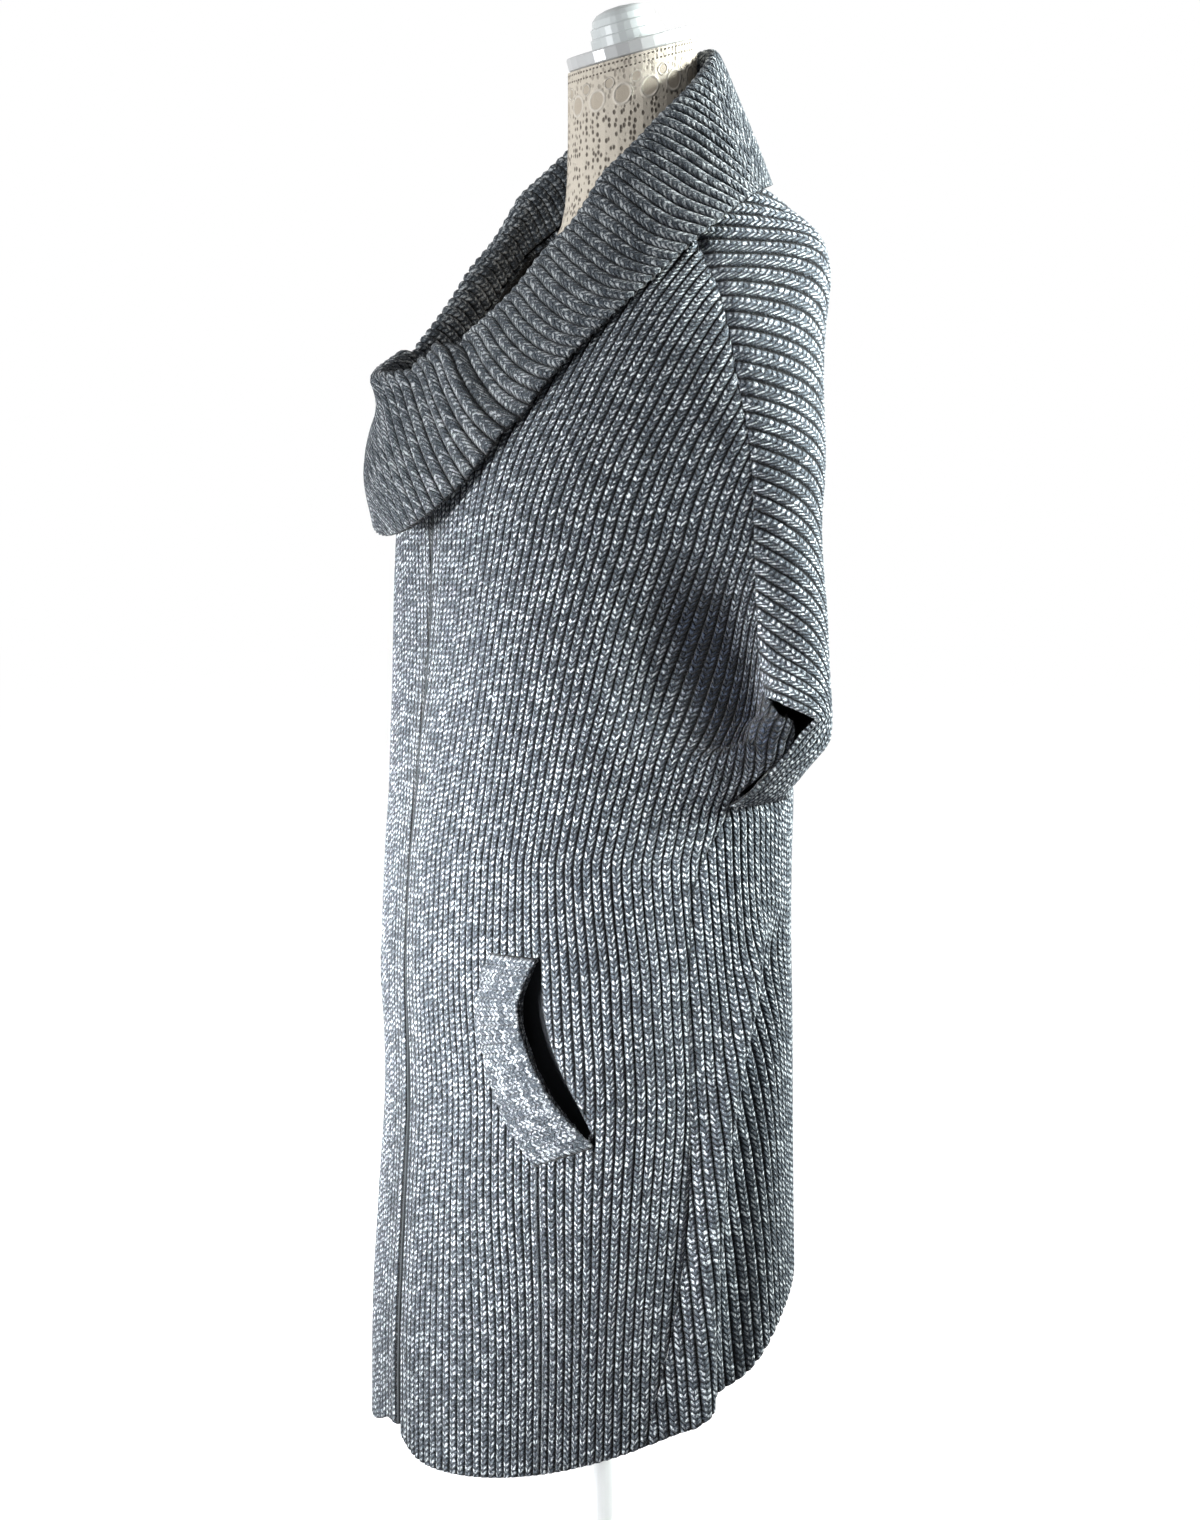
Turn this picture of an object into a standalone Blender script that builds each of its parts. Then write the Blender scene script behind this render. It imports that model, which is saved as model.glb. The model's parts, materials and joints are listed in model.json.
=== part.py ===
"""Sleeveless rib-knit cardigan, zipped, worn by a limbless dress form on a round stand."""

import math

import bmesh
import bpy
import numpy as np
from mathutils import Matrix

# ---------------------------------------------------------------- driving dimensions (metres, degrees)
KNIT = 0.0040                # thickness of the rib knit
COLLAR_KNIT = 0.0044         # the collar is knitted a little thicker
BAND_KNIT = 0.0034           # pocket bands
SEAM_GAP = 0.0003            # clearance between pieces that meet
LAY_GAP = 0.0010             # clearance below a piece that lies on a panel's flat facets

# An oval ring is drawn about (0, mid_y). Its height runs evenly from front_z over side_z to back_z, or
# faster near the side where front_rise or back_rise is over 1. The powers are the squareness of its
# front and back halves: 2 is an ellipse.
RING_COLUMNS = ("front_z", "side_z", "back_z", "half_width", "mid_y", "front_reach", "back_reach",
                "front_power", "back_power", "front_rise", "back_rise")

# Body of the cardigan, hem to neckline.
BODY_RINGS = (
    (0.372, 0.431, 0.552, 0.240, -0.012, 0.1630, 0.145, 2.30, 2.3, 1.0, 1.0),
    (0.468, 0.500, 0.610, 0.236, -0.012, 0.1625, 0.145, 2.30, 2.3, 1.0, 1.0),
    (0.566, 0.585, 0.675, 0.230, -0.012, 0.1580, 0.146, 2.25, 2.3, 1.0, 1.0),
    (0.660, 0.670, 0.735, 0.225, -0.012, 0.1535, 0.147, 2.20, 2.3, 1.0, 1.0),
    (0.760, 0.765, 0.795, 0.220, -0.012, 0.1555, 0.147, 2.30, 2.3, 1.0, 1.0),
    (0.845, 0.845, 0.855, 0.213, -0.010, 0.1540, 0.147, 2.40, 2.3, 1.0, 1.0),
    (0.900, 0.900, 0.905, 0.209, -0.008, 0.1505, 0.145, 2.55, 2.4, 1.0, 1.0),
    (0.945, 0.945, 0.950, 0.208, -0.007, 0.1475, 0.142, 2.75, 2.4, 1.0, 1.0),
    (0.985, 0.985, 0.990, 0.207, -0.006, 0.1440, 0.137, 3.00, 2.4, 1.0, 1.0),
    (1.035, 1.040, 1.045, 0.206, -0.006, 0.1400, 0.132, 3.30, 2.4, 1.0, 1.0),
    (1.085, 1.110, 1.125, 0.205, -0.005, 0.1395, 0.120, 3.30, 2.4, 1.0, 1.0),
    (1.120, 1.172, 1.205, 0.204, -0.005, 0.1390, 0.133, 3.10, 2.6, 1.0, 1.0),
    (1.142, 1.226, 1.280, 0.199, -0.005, 0.1390, 0.154, 2.70, 3.2, 1.0, 1.0),
    (1.158, 1.272, 1.340, 0.184, -0.010, 0.1370, 0.157, 2.30, 5.0, 1.0, 1.0),
    (1.172, 1.300, 1.378, 0.158, -0.018, 0.1300, 0.146, 2.00, 3.6, 1.0, 1.0),
    (1.184, 1.320, 1.413, 0.129, -0.025, 0.1240, 0.125, 1.80, 2.4, 1.0, 1.0),
    (1.197, 1.342, 1.436, 0.099, -0.030, 0.1180, 0.116, 1.65, 2.2, 1.0, 1.0),
)
BODY_TOP = len(BODY_RINGS) - 1

# Seam between front and back, one row for each body ring: its angle from the centre front, and half the
# distance between the two fronts, which opens at the top round the zip's slider.
SEAM_COLUMNS = ("angle", "front_gap")
SEAM_ROWS = (
    (81.0, 0.0024), (86.0, 0.0024), (90.0, 0.0022), (91.0, 0.0020), (91.5, 0.0016), (93.0, 0.0014),
    (101.3, 0.0013), (104.2, 0.0013), (100.9, 0.0013), (99.8, 0.0013), (98.5, 0.0013), (98.0, 0.0013),
    (98.0, 0.0014), (101.0, 0.0048), (106.0, 0.0052), (112.0, 0.0052), (118.0, 0.0052),
)

# The dropped sleeve swells out of the side between two heights, and its lower end is open.
ARM = {"reach": 0.064, "angle": 109.0, "spread": 22.0, "foot": (0.897, 0.950), "top": (1.140, 1.355)}
# Behind the side its foot lies higher: how far behind, and by how much the foot's two heights rise.
ARM_BACK = {"from": 104.0, "over": 21.0, "rise": (0.018, 0.007)}
# Below the opening the cloth is drawn in, so that the upper rim stands out over it.
TUCK = {"share": 0.22, "angle": 108.0, "spread": 9.0, "height": (0.950, 0.972)}
# Soft hollow in front of the armhole.
HOLLOW = {"angle": 84.0, "spread": 12.0, "height": 0.985, "rise": 0.060, "depth": 0.020}
# The hem is drawn up a little at the zip, and sags a little behind each side seam.
HEM_TUCK = {"rise": 0.020, "angle": -7.0, "spread": 17.0, "rings": 1.2}
HEM_SAG = {"drop": 0.014, "angle": 103.0, "spread": 7.0}
# A soft fold runs down behind each side seam: a ridge along this line of (angle, height), with a
# shallow trough behind it.
FOLD_LINE = ((111.0, 0.815), (106.4, 0.768), (101.0, 0.705), (96.9, 0.638), (94.2, 0.560), (92.4, 0.470),
             (91.5, 0.400))
FOLD = {"ridge": 0.0040, "ridge_spread": 3.6, "trough": 0.0065, "trough_spread": 5.5, "apart": 7.5,
        "top": (0.750, 0.830)}
# Hand opening of the sleeve, as (angle, height) along its lower lip and its upper rim.
MOUTH_LOW = ((98.0, 0.893), (102.0, 0.899), (103.4, 0.914), (104.6, 0.930), (105.4, 0.943), (106.6, 0.952),
             (108.6, 0.959), (112.0, 0.964))
MOUTH_HIGH = ((98.0, 0.988), (100.0, 0.984), (101.4, 0.9815), (103.0, 0.9785), (105.0, 0.975), (107.2, 0.972),
              (109.5, 0.969), (112.0, 0.966))

# Left pocket, as (angle, height) from top to bottom: the outer edge of its band, the band's edge along
# the mouth, and the mouth's other edge. The bag behind spans these angles and heights.
BAND_EDGE = ((47.0, 0.787), (43.6, 0.745), (46.2, 0.700), (51.5, 0.661), (59.0, 0.628))
MOUTH_EDGE = ((59.5, 0.785), (55.8, 0.748), (58.6, 0.710), (64.3, 0.675), (71.6, 0.646))
FAR_EDGE = ((60.4, 0.785), (61.2, 0.744), (64.2, 0.706), (68.9, 0.672), (72.2, 0.646))
BAG = {"angles": (30.0, 75.0), "heights": (0.600, 0.800), "gap": 0.0017, "depth": 0.0120, "cloth": 0.0015}
# Distances from the upright middle line between which an opening is cut through a panel.
HAND_CUT = (0.130, 0.330)
POCKET_CUT = (0.120, 0.260)

# Collar, from its sewn edge over the roll to its free edge.
COLLAR_RINGS = (
    (1.2000, 1.345, 1.439, 0.0990, -0.030, 0.1180, 0.1160, 1.65, 2.2, 1.0, 1.0),
    (1.2130, 1.366, 1.466, 0.0970, -0.031, 0.1310, 0.1160, 1.65, 2.2, 1.2, 1.0),
    (1.2250, 1.382, 1.490, 0.0950, -0.032, 0.1440, 0.1180, 1.65, 2.2, 1.4, 1.0),
    (1.2310, 1.391, 1.502, 0.0990, -0.032, 0.1500, 0.1220, 1.65, 2.2, 1.4, 1.0),
    (1.2250, 1.387, 1.495, 0.1070, -0.032, 0.1530, 0.1270, 1.70, 2.2, 1.4, 1.0),
    (1.1950, 1.359, 1.468, 0.1280, -0.031, 0.1530, 0.1350, 1.85, 2.2, 1.2, 1.1),
    (1.1520, 1.323, 1.428, 0.1480, -0.030, 0.1510, 0.1450, 2.00, 2.4, 1.0, 1.3),
    (1.1110, 1.293, 1.390, 0.1630, -0.030, 0.1450, 0.1540, 2.20, 2.6, 0.9, 1.6),
)

# The collar's ends lap left over right: half the lap in degrees, how far each end is lifted off the
# other, and the angle over which that lift dies away.
LAP = {"angle": 4.5, "lift": 0.0027, "fade": 55.0}
RIM_RISE = 0.0012            # the collar's sewn edge stands this far above the rim of the body

# Zip: two tapes and the closed chain, seen in the gap between the fronts.
ZIP = {"tape_width": 0.030, "tape": 0.0012, "chain": 0.0042, "chain_sink": 0.0009, "top_level": 13.0}
SLIDER = {"width": 0.0080, "height": 0.0100, "depth": 0.0040, "proud": 0.0006, "edge": 0.0006,
          "loop": 0.0032, "loop_height": 0.0056, "loop_bar": 0.0009, "loop_root": 0.0008}
TAB = {"width": 0.0050, "length": 0.0180, "thick": 0.0009, "bar": 0.0012, "eye": (0.0024, 0.0030)}

# Dress form, hip to neck: general figure without arms. Then its neck cap, knob and stand.
FORM_RINGS = (
    (0.620, 0.620, 0.620, 0.150, 0.000, 0.098, 0.108, 2.2, 2.2, 1.0, 1.0),
    (0.632, 0.632, 0.632, 0.163, 0.000, 0.108, 0.118, 2.2, 2.2, 1.0, 1.0),
    (0.700, 0.700, 0.700, 0.170, 0.000, 0.110, 0.122, 2.2, 2.2, 1.0, 1.0),
    (0.790, 0.790, 0.790, 0.164, 0.000, 0.102, 0.116, 2.2, 2.2, 1.0, 1.0),
    (0.880, 0.880, 0.880, 0.140, 0.002, 0.090, 0.096, 2.2, 2.2, 1.0, 1.0),
    (0.940, 0.940, 0.940, 0.130, 0.004, 0.088, 0.090, 2.2, 2.2, 1.0, 1.0),
    (1.010, 1.010, 1.010, 0.138, 0.004, 0.102, 0.096, 2.2, 2.2, 1.0, 1.0),
    (1.080, 1.080, 1.080, 0.152, 0.004, 0.124, 0.094, 2.2, 2.2, 1.0, 1.0),
    (1.150, 1.150, 1.150, 0.160, 0.006, 0.118, 0.096, 2.2, 2.2, 1.0, 1.0),
    (1.220, 1.220, 1.220, 0.168, 0.012, 0.098, 0.096, 2.2, 2.2, 1.0, 1.0),
    (1.274, 1.281, 1.287, 0.174, 0.019, 0.080, 0.088, 2.2, 2.2, 1.0, 1.0),
    (1.310, 1.319, 1.327, 0.155, 0.023, 0.072, 0.079, 2.1, 2.1, 1.0, 1.0),
    (1.338, 1.348, 1.356, 0.115, 0.028, 0.064, 0.066, 2.0, 2.0, 1.0, 1.0),
    (1.362, 1.370, 1.380, 0.072, 0.030, 0.058, 0.058, 2.0, 2.0, 1.0, 1.0),
    (1.395, 1.402, 1.410, 0.056, 0.029, 0.054, 0.054, 2.0, 2.0, 1.0, 1.0),
    (1.450, 1.457, 1.465, 0.0525, 0.028, 0.0525, 0.0525, 2.0, 2.0, 1.0, 1.0),
    (1.4832, 1.4982, 1.5132, 0.0525, 0.028, 0.0525, 0.0525, 2.0, 2.0, 1.0, 1.0),
)
NECK = {"y": 0.028, "z": 1.4983, "tilt": 16.0, "radius": 0.0530, "cap": 0.0110, "edge": 0.0012}
# Knob profile as (radius, height) above the cap, from its foot to the crown.
KNOB_PROFILE = ((0.0305, 0.0), (0.0300, 0.0080), (0.0282, 0.0092), (0.0280, 0.0160), (0.0262, 0.0172),
                (0.0250, 0.0225), (0.0205, 0.0265), (0.0120, 0.0290), (0.0, 0.0300))
STAND = {"pole": 0.0125, "flange": 0.045, "flange_thick": 0.006, "base": 0.185, "base_thick": 0.009,
         "hub": 0.026, "hub_height": 0.045, "fillet": 0.008, "edge": 0.003}

COLOURS = {
    "knit": (0.13, 0.15, 0.17), "rib": (0.09, 0.105, 0.12), "bag": (0.02, 0.022, 0.026),
    "zip": (0.04, 0.047, 0.055), "metal": (0.16, 0.17, 0.18), "form": (0.68, 0.62, 0.52),
    "cap": (0.86, 0.86, 0.88), "knob": (0.60, 0.63, 0.64), "stand": (0.80, 0.80, 0.80),
}


# ---------------------------------------------------------------- scene, materials and objects
def clear_scene():
    for old in list(bpy.data.objects):
        bpy.data.objects.remove(old, do_unlink=True)


def new_collection(name):
    group = bpy.data.collections.new(name)
    bpy.context.scene.collection.children.link(group)
    return group


clear_scene()
PARTS = new_collection("cardigan_on_form")
CUTTERS = new_collection("cutters")


def paint(part, colour, roughness, metallic=0.0):
    """Give a sub-part its own Principled material."""
    finish = bpy.data.materials.new(part.name)
    finish.use_nodes = True
    shader = finish.node_tree.nodes["Principled BSDF"]
    shader.inputs["Base Color"].default_value = (*COLOURS[colour], 1.0)
    shader.inputs["Roughness"].default_value = roughness
    shader.inputs["Metallic"].default_value = metallic
    part.data.materials.clear()
    part.data.materials.append(finish)


def add_object(name, mesh, group):
    part = bpy.data.objects.new(name, mesh)
    group.objects.link(part)
    return part


def finish_mesh(name, verts, faces, group):
    """Mesh object with its faces turned outward and its round faces shaded smooth."""
    mesh = bpy.data.meshes.new(name)
    mesh.from_pydata([tuple(v) for v in verts], [], faces)
    shape = bmesh.new()
    shape.from_mesh(mesh)
    bmesh.ops.recalc_face_normals(shape, faces=shape.faces)
    shape.to_mesh(mesh)
    shape.free()
    mesh.shade_smooth()
    mesh.set_sharp_from_angle(angle=math.radians(40.0))
    return add_object(name, mesh, group)


def grid_solid(name, outer, inner, group=PARTS):
    """Closed wall between two grids of points of the same size."""
    rows, columns = outer.shape[:2]
    verts = np.concatenate([outer.reshape(-1, 3), inner.reshape(-1, 3)])
    back = rows * columns

    def at(row, column):
        return row * columns + column

    faces = []
    for row in range(rows - 1):
        for column in range(columns - 1):
            quad = (at(row, column), at(row, column + 1), at(row + 1, column + 1), at(row + 1, column))
            faces.append(quad)
            faces.append(tuple(back + corner for corner in reversed(quad)))
    border = [at(0, column) for column in range(columns)]
    border += [at(row, columns - 1) for row in range(1, rows)]
    border += [at(rows - 1, column) for column in range(columns - 2, -1, -1)]
    border += [at(row, 0) for row in range(rows - 2, 0, -1)]
    for here, there in zip(border, border[1:] + border[:1]):
        if here < there:
            faces.append((there, here, back + there))
            faces.append((here, back + here, back + there))
        else:
            faces.append((there, here, back + here))
            faces.append((there, back + here, back + there))
    return finish_mesh(name, verts, faces, group)


def ring_solid(name, rings, group=PARTS):
    """Solid lofted through closed rings with the same number of points, flat at both ends."""
    count, sides = rings.shape[:2]
    faces = []
    for ring in range(count - 1):
        for side in range(sides):
            after = (side + 1) % sides
            low, high = ring * sides, (ring + 1) * sides
            faces.append((low + side, low + after, high + after, high + side))
    faces.append(tuple(range(sides)))
    faces.append(tuple(range((count - 1) * sides, count * sides)))
    return finish_mesh(name, rings.reshape(-1, 3), faces, group)


def turned(name, profile, group=PARTS, steps=32):
    """Solid of revolution about Z from a profile of (radius, height), top to bottom."""
    mesh = bpy.data.meshes.new(name)
    verts = [(radius, 0.0, height) for radius, height in profile]
    mesh.from_pydata(verts, [(i, i + 1) for i in range(len(verts) - 1)], [])
    part = add_object(name, mesh, group)
    screw = part.modifiers.new("turn", "SCREW")
    screw.steps = steps
    screw.render_steps = steps
    screw.use_merge_vertices = True
    screw.merge_threshold = 0.00005
    return part


def cut(part, cutter, operation="DIFFERENCE"):
    """Boolean with a cutter that stays hidden from the build."""
    cutter.hide_render = True
    cutter.display_type = "WIRE"
    step = part.modifiers.new(cutter.name, "BOOLEAN")
    step.operation = operation
    step.object = cutter
    step.solver = "EXACT"


# ---------------------------------------------------------------- curves and surfaces
def smooth_step(low, high, value):
    """0 below low, 1 above high, and a soft S between them."""
    t = np.clip((value - low) / (high - low), 0.0, 1.0)
    return t * t * (3.0 - 2.0 * t)


def hump(value, centre, spread):
    """Bell of height 1."""
    return np.exp(-((value - centre) / spread) ** 2)


def read_table(rows, columns, name, level):
    """One column of a table as a smooth curve through its rows, read at any level."""
    values = np.array([row[columns.index(name)] for row in rows])
    level = np.clip(level, 0.0, len(values) - 1.0)
    index = np.minimum(np.floor(level).astype(int), len(values) - 2)
    t = level - index
    slope = np.gradient(values)
    start, end = values[index], values[index + 1]
    return ((2 * t**3 - 3 * t**2 + 1) * start + (t**3 - 2 * t**2 + t) * slope[index]
            + (3 * t**2 - 2 * t**3) * end + (t**3 - t**2) * slope[index + 1])


def along(points, share):
    """Points of an (angle, height) line at even shares of its list, on a smooth curve."""
    share = np.asarray(share) * (len(points) - 1)
    pair = ("angle", "height")
    return read_table(points, pair, "angle", share), read_table(points, pair, "height", share)


def ring_point(rows, turn, level, swell=None):
    """Point of a ring surface. turn is the angle from the centre front, to the wearer's left."""
    turn, level = np.broadcast_arrays(np.asarray(turn, float), np.asarray(level, float))
    read = {name: read_table(rows, RING_COLUMNS, name, level) for name in RING_COLUMNS}
    ahead = np.cos(turn)
    front = ahead >= 0.0
    reach = np.where(front, read["front_reach"], read["back_reach"])
    power = np.where(front, read["front_power"], read["back_power"])
    across = np.sin(turn) / read["half_width"]
    radius = (np.abs(ahead / reach) ** power + np.abs(across) ** power) ** (-1 / power)
    share = np.clip(radius * np.abs(ahead) / reach, 0.0, 1.0)
    end_z = np.where(front, read["front_z"], read["back_z"])
    rise = np.where(front, read["front_rise"], read["back_rise"])
    z = read["side_z"] + (end_z - read["side_z"]) * (1.0 - (1.0 - share) ** rise)
    if swell is not None:
        out, up = swell(turn, level, z)
        radius = radius + out
        z = z + up
    return np.stack([radius * np.sin(turn), read["mid_y"] - radius * ahead, z], axis=-1)


def body_swell(turn, level, z):
    """What the sleeves, hollows and hem add to the plain rings: outward and upward."""
    angle = np.degrees(np.arccos(np.clip(np.cos(turn), -1.0, 1.0)))
    behind = np.clip((angle - ARM_BACK["from"]) / ARM_BACK["over"], 0.0, 1.0)
    foot = [height + rise * behind for height, rise in zip(ARM["foot"], ARM_BACK["rise"])]
    sleeve = hump(angle, ARM["angle"], ARM["spread"]) * smooth_step(*foot, z)
    sleeve = sleeve * (1.0 - smooth_step(*ARM["top"], z))
    tuck = hump(angle, TUCK["angle"], TUCK["spread"]) * (1.0 - smooth_step(*TUCK["height"], z))
    hollow = hump(angle, HOLLOW["angle"], HOLLOW["spread"]) * hump(z, HOLLOW["height"], HOLLOW["rise"])
    out = ARM["reach"] * sleeve * (1.0 - TUCK["share"] * tuck) - HOLLOW["depth"] * hollow
    line_angles, line_heights = zip(*reversed(FOLD_LINE))
    off = angle - np.interp(z, line_heights, line_angles)
    fold = FOLD["ridge"] * hump(off, 0.0, FOLD["ridge_spread"])
    fold = fold - FOLD["trough"] * hump(off, FOLD["apart"], FOLD["trough_spread"])
    out = out + fold * (1.0 - smooth_step(*FOLD["top"], z))
    signed = (np.degrees(turn) + 180.0) % 360.0 - 180.0
    up = HEM_TUCK["rise"] * hump(signed, HEM_TUCK["angle"], HEM_TUCK["spread"])
    up = up - HEM_SAG["drop"] * hump(angle, HEM_SAG["angle"], HEM_SAG["spread"])
    return out, up * (1.0 - smooth_step(0.0, HEM_TUCK["rings"], level))


def body_face(turn, level):
    return ring_point(BODY_RINGS, turn, level, body_swell)


def lap_lift(turn, level):
    """How far the collar is lifted towards its overlapping left end, in metres."""
    degrees = np.degrees(turn)
    left_end = 1.0 - smooth_step(0.0, LAP["fade"], degrees)
    right_end = smooth_step(360.0 - LAP["fade"], 360.0, degrees)
    return LAP["lift"] * (left_end - right_end) * smooth_step(0.0, 1.0, level)


def collar_face(turn, level):
    return ring_point(COLLAR_RINGS, turn, level)


def lifted(face, turn, level, lift):
    """Point of a surface moved along its outward normal."""
    step = 1e-4
    turn, level = np.broadcast_arrays(np.asarray(turn, float), np.asarray(level, float))
    across = face(turn + step, level) - face(turn - step, level)
    upward = face(turn, level + step) - face(turn, level - step)
    normal = np.cross(across, upward)
    normal /= np.linalg.norm(normal, axis=-1, keepdims=True)
    return face(turn, level) + normal * np.asarray(lift)[..., None]


def seam_turn(level):
    return np.radians(read_table(SEAM_ROWS, SEAM_COLUMNS, "angle", level))


def front_turn(level):
    """Angle of the front edge, half the zip's gap away from the centre front."""
    gap = read_table(SEAM_ROWS, SEAM_COLUMNS, "front_gap", level)
    return gap / read_table(BODY_RINGS, RING_COLUMNS, "front_reach", level)


def level_at(turn, height):
    """Level at which the body reaches a height, at one angle."""
    levels = np.linspace(0.0, BODY_TOP, 321)
    heights = body_face(turn, levels)[:, 2]
    return float(np.interp(height, heights, levels))


def body_points(angles, heights, lift):
    """Points on the body from angles in degrees and heights in metres."""
    turns = np.radians(np.asarray(angles, float))
    levels = np.array([level_at(turn, height) for turn, height in zip(turns.ravel(), np.ravel(heights))])
    return lifted(body_face, turns, levels.reshape(turns.shape), np.full(turns.shape, lift))


def spread_out(angles, heights, radius):
    """Points at one distance from the garment's upright middle line."""
    turns = np.radians(angles)
    middle_y = read_table(BODY_RINGS, RING_COLUMNS, "mid_y", 7.0)
    return np.stack([radius * np.sin(turns), middle_y - radius * np.cos(turns), heights], axis=-1)


def mirrored(points):
    return points * np.array([-1.0, 1.0, 1.0])


# ---------------------------------------------------------------- cardigan
PANEL_LEVELS = np.concatenate([np.linspace(0.0, 5.0, 8), np.linspace(5.5, BODY_TOP, 17)])


def panel(name, first, last, share):
    """Wall of the body between two angles, each given for every level, with columns at these shares."""
    turn = first[:, None] * (1.0 - share) + last[:, None] * share
    level = np.repeat(PANEL_LEVELS[:, None], len(share), axis=1)
    outer = lifted(body_face, turn, level, np.zeros(turn.shape))
    inner = lifted(body_face, turn, level, np.full(turn.shape, -KNIT))
    part = grid_solid(name, outer, inner)
    paint(part, "knit", 0.95)
    return part


def seam_clearance():
    return SEAM_GAP / 2.0 / read_table(BODY_RINGS, RING_COLUMNS, "half_width", PANEL_LEVELS)


def build_fronts():
    edge = front_turn(PANEL_LEVELS)
    seam = seam_turn(PANEL_LEVELS) - seam_clearance()
    share = np.linspace(0.0, 1.0, 14)
    return panel("left_front", edge, seam, share), panel("right_front", -seam, -edge, share)


def build_back():
    seam = seam_turn(PANEL_LEVELS) + seam_clearance()
    side = np.linspace(0.0, 0.20, 10)
    share = np.concatenate([side, np.linspace(0.20, 0.80, 11)[1:-1], 1.0 - side[::-1]])
    back = panel("back_panel", seam, 2.0 * math.pi - seam, share)
    share = np.linspace(0.0, 1.0, 11)
    low_angle, low_height = along(MOUTH_LOW, share)
    high_angle, high_height = along(MOUTH_HIGH, share)
    angles = np.stack([low_angle, high_angle])
    heights = np.stack([low_height, high_height])
    inner, outer = (spread_out(angles, heights, radius) for radius in HAND_CUT)
    cut(back, grid_solid("left_hand_opening", outer, inner, CUTTERS))
    cut(back, grid_solid("right_hand_opening", mirrored(outer), mirrored(inner), CUTTERS))
    return back


def build_pocket(side, front):
    """Band, mouth and bag of one pocket. side is 1 on the wearer's left and -1 on the right."""
    name = "left" if side > 0 else "right"
    place = (lambda points: points) if side > 0 else mirrored

    share = np.linspace(0.0, 1.0, 11)
    near_angle, near_height = along(MOUTH_EDGE, share)
    far_angle, far_height = along(FAR_EDGE, share)
    angles = np.stack([near_angle, far_angle])
    heights = np.stack([near_height, far_height])
    inner, outer = (place(spread_out(angles, heights, radius)) for radius in POCKET_CUT)
    cut(front, grid_solid(name + "_pocket_mouth", outer, inner, CUTTERS))

    edge_angle, edge_height = along(BAND_EDGE, share)
    across = np.linspace(0.0, 1.0, 5)[:, None]
    angles = edge_angle * (1.0 - across) + near_angle * across
    heights = edge_height * (1.0 - across) + near_height * across
    band = grid_solid(name + "_pocket_band", place(body_points(angles, heights, LAY_GAP + BAND_KNIT)),
                      place(body_points(angles, heights, LAY_GAP)))
    paint(band, "rib", 0.95)

    around = np.linspace(0.0, 1.0, 10)
    angles, heights = np.meshgrid(np.interp(around, (0, 1), BAG["angles"]),
                                  np.interp(around, (0, 1), BAG["heights"]))
    middle = np.minimum(1.0, 4.0 * np.minimum(around, 1.0 - around))
    sag = BAG["depth"] * np.minimum(middle[:, None], middle[None, :])
    turns = np.radians(angles)
    levels = np.array([level_at(t, h) for t, h in zip(turns.ravel(), heights.ravel())]).reshape(turns.shape)
    top = -(KNIT + BAG["gap"]) - sag
    bag = grid_solid(name + "_pocket_bag", place(lifted(body_face, turns, levels, top)),
                     place(lifted(body_face, turns, levels, top - BAG["cloth"])))
    paint(bag, "bag", 1.0)


def build_collar():
    """Collar wall. Its sewn edge sits on the rim of the body, and its ends lap above that."""
    levels = np.array([0.0, 0.6, 1.2, 2.0, 2.5, 3.0, 3.5, 4.0, 5.0, 6.0, 7.0])
    end = np.linspace(0.0, 0.11, 6)
    share = np.concatenate([end, np.linspace(0.14, 0.86, 23), 1.0 - end[::-1]])
    share, level = np.meshgrid(share, levels)
    lap = math.radians(LAP["angle"]) * smooth_step(0.8, 2.5, level) - SEAM_GAP / BODY_RINGS[-1][3]
    turn = -lap + (2.0 * math.pi + 2.0 * lap) * share
    middle = lap_lift(turn, level)
    outer = lifted(collar_face, turn, level, middle + COLLAR_KNIT / 2.0)
    inner = lifted(collar_face, turn, level, middle - COLLAR_KNIT / 2.0)
    for wall, depth in ((outer, 0.0), (inner, -KNIT)):
        rim = lifted(body_face, turn[0], BODY_TOP, depth)
        below = lifted(body_face, turn[0], BODY_TOP - 0.05, depth)
        climb = rim - below
        wall[0] = rim + climb / np.linalg.norm(climb, axis=-1, keepdims=True) * RIM_RISE
    paint(grid_solid("collar", outer, inner), "rib", 0.95)


# ---------------------------------------------------------------- zip
def build_zip():
    """Tapes and closed chain as one T-shaped strip behind the fronts. Returns the chain's top point."""
    levels = np.linspace(0.05, ZIP["top_level"], 24)
    gap = read_table(SEAM_ROWS, SEAM_COLUMNS, "front_gap", levels) - SEAM_GAP
    gap = np.minimum(gap, ZIP["chain"] / 2.0)
    half_tape = ZIP["tape_width"] / 2.0
    sink = -ZIP["chain_sink"]
    face = -(KNIT + LAY_GAP)
    under = face - ZIP["tape"]
    # Corners of the T as (side, half width, lift). The chain's half width follows the gap between the fronts.
    section = ((-1, half_tape, face), (-1, None, face), (-1, None, sink), (1, None, sink),
               (1, None, face), (1, half_tape, face), (1, half_tape, under), (-1, half_tape, under))
    rings = []
    for level, chain in zip(levels, gap):
        reach = float(read_table(BODY_RINGS, RING_COLUMNS, "front_reach", level))
        ring = [lifted(body_face, side * (chain if width is None else width) / reach, level, lift)
                for side, width, lift in section]
        rings.append(ring)
    paint(ring_solid("zip_chain_and_tapes", np.array(rings)), "zip", 0.6)
    return body_face(0.0, ZIP["top_level"])


def box(name, size, centre, group=PARTS):
    bpy.ops.mesh.primitive_cube_add(size=1.0)
    part = bpy.context.object
    part.name = name
    part.data.name = name
    part.data.transform(Matrix.Translation(centre) @ Matrix.Diagonal((*size, 1.0)))
    for owner in list(part.users_collection):
        owner.objects.unlink(part)
    group.objects.link(part)
    return part


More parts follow.
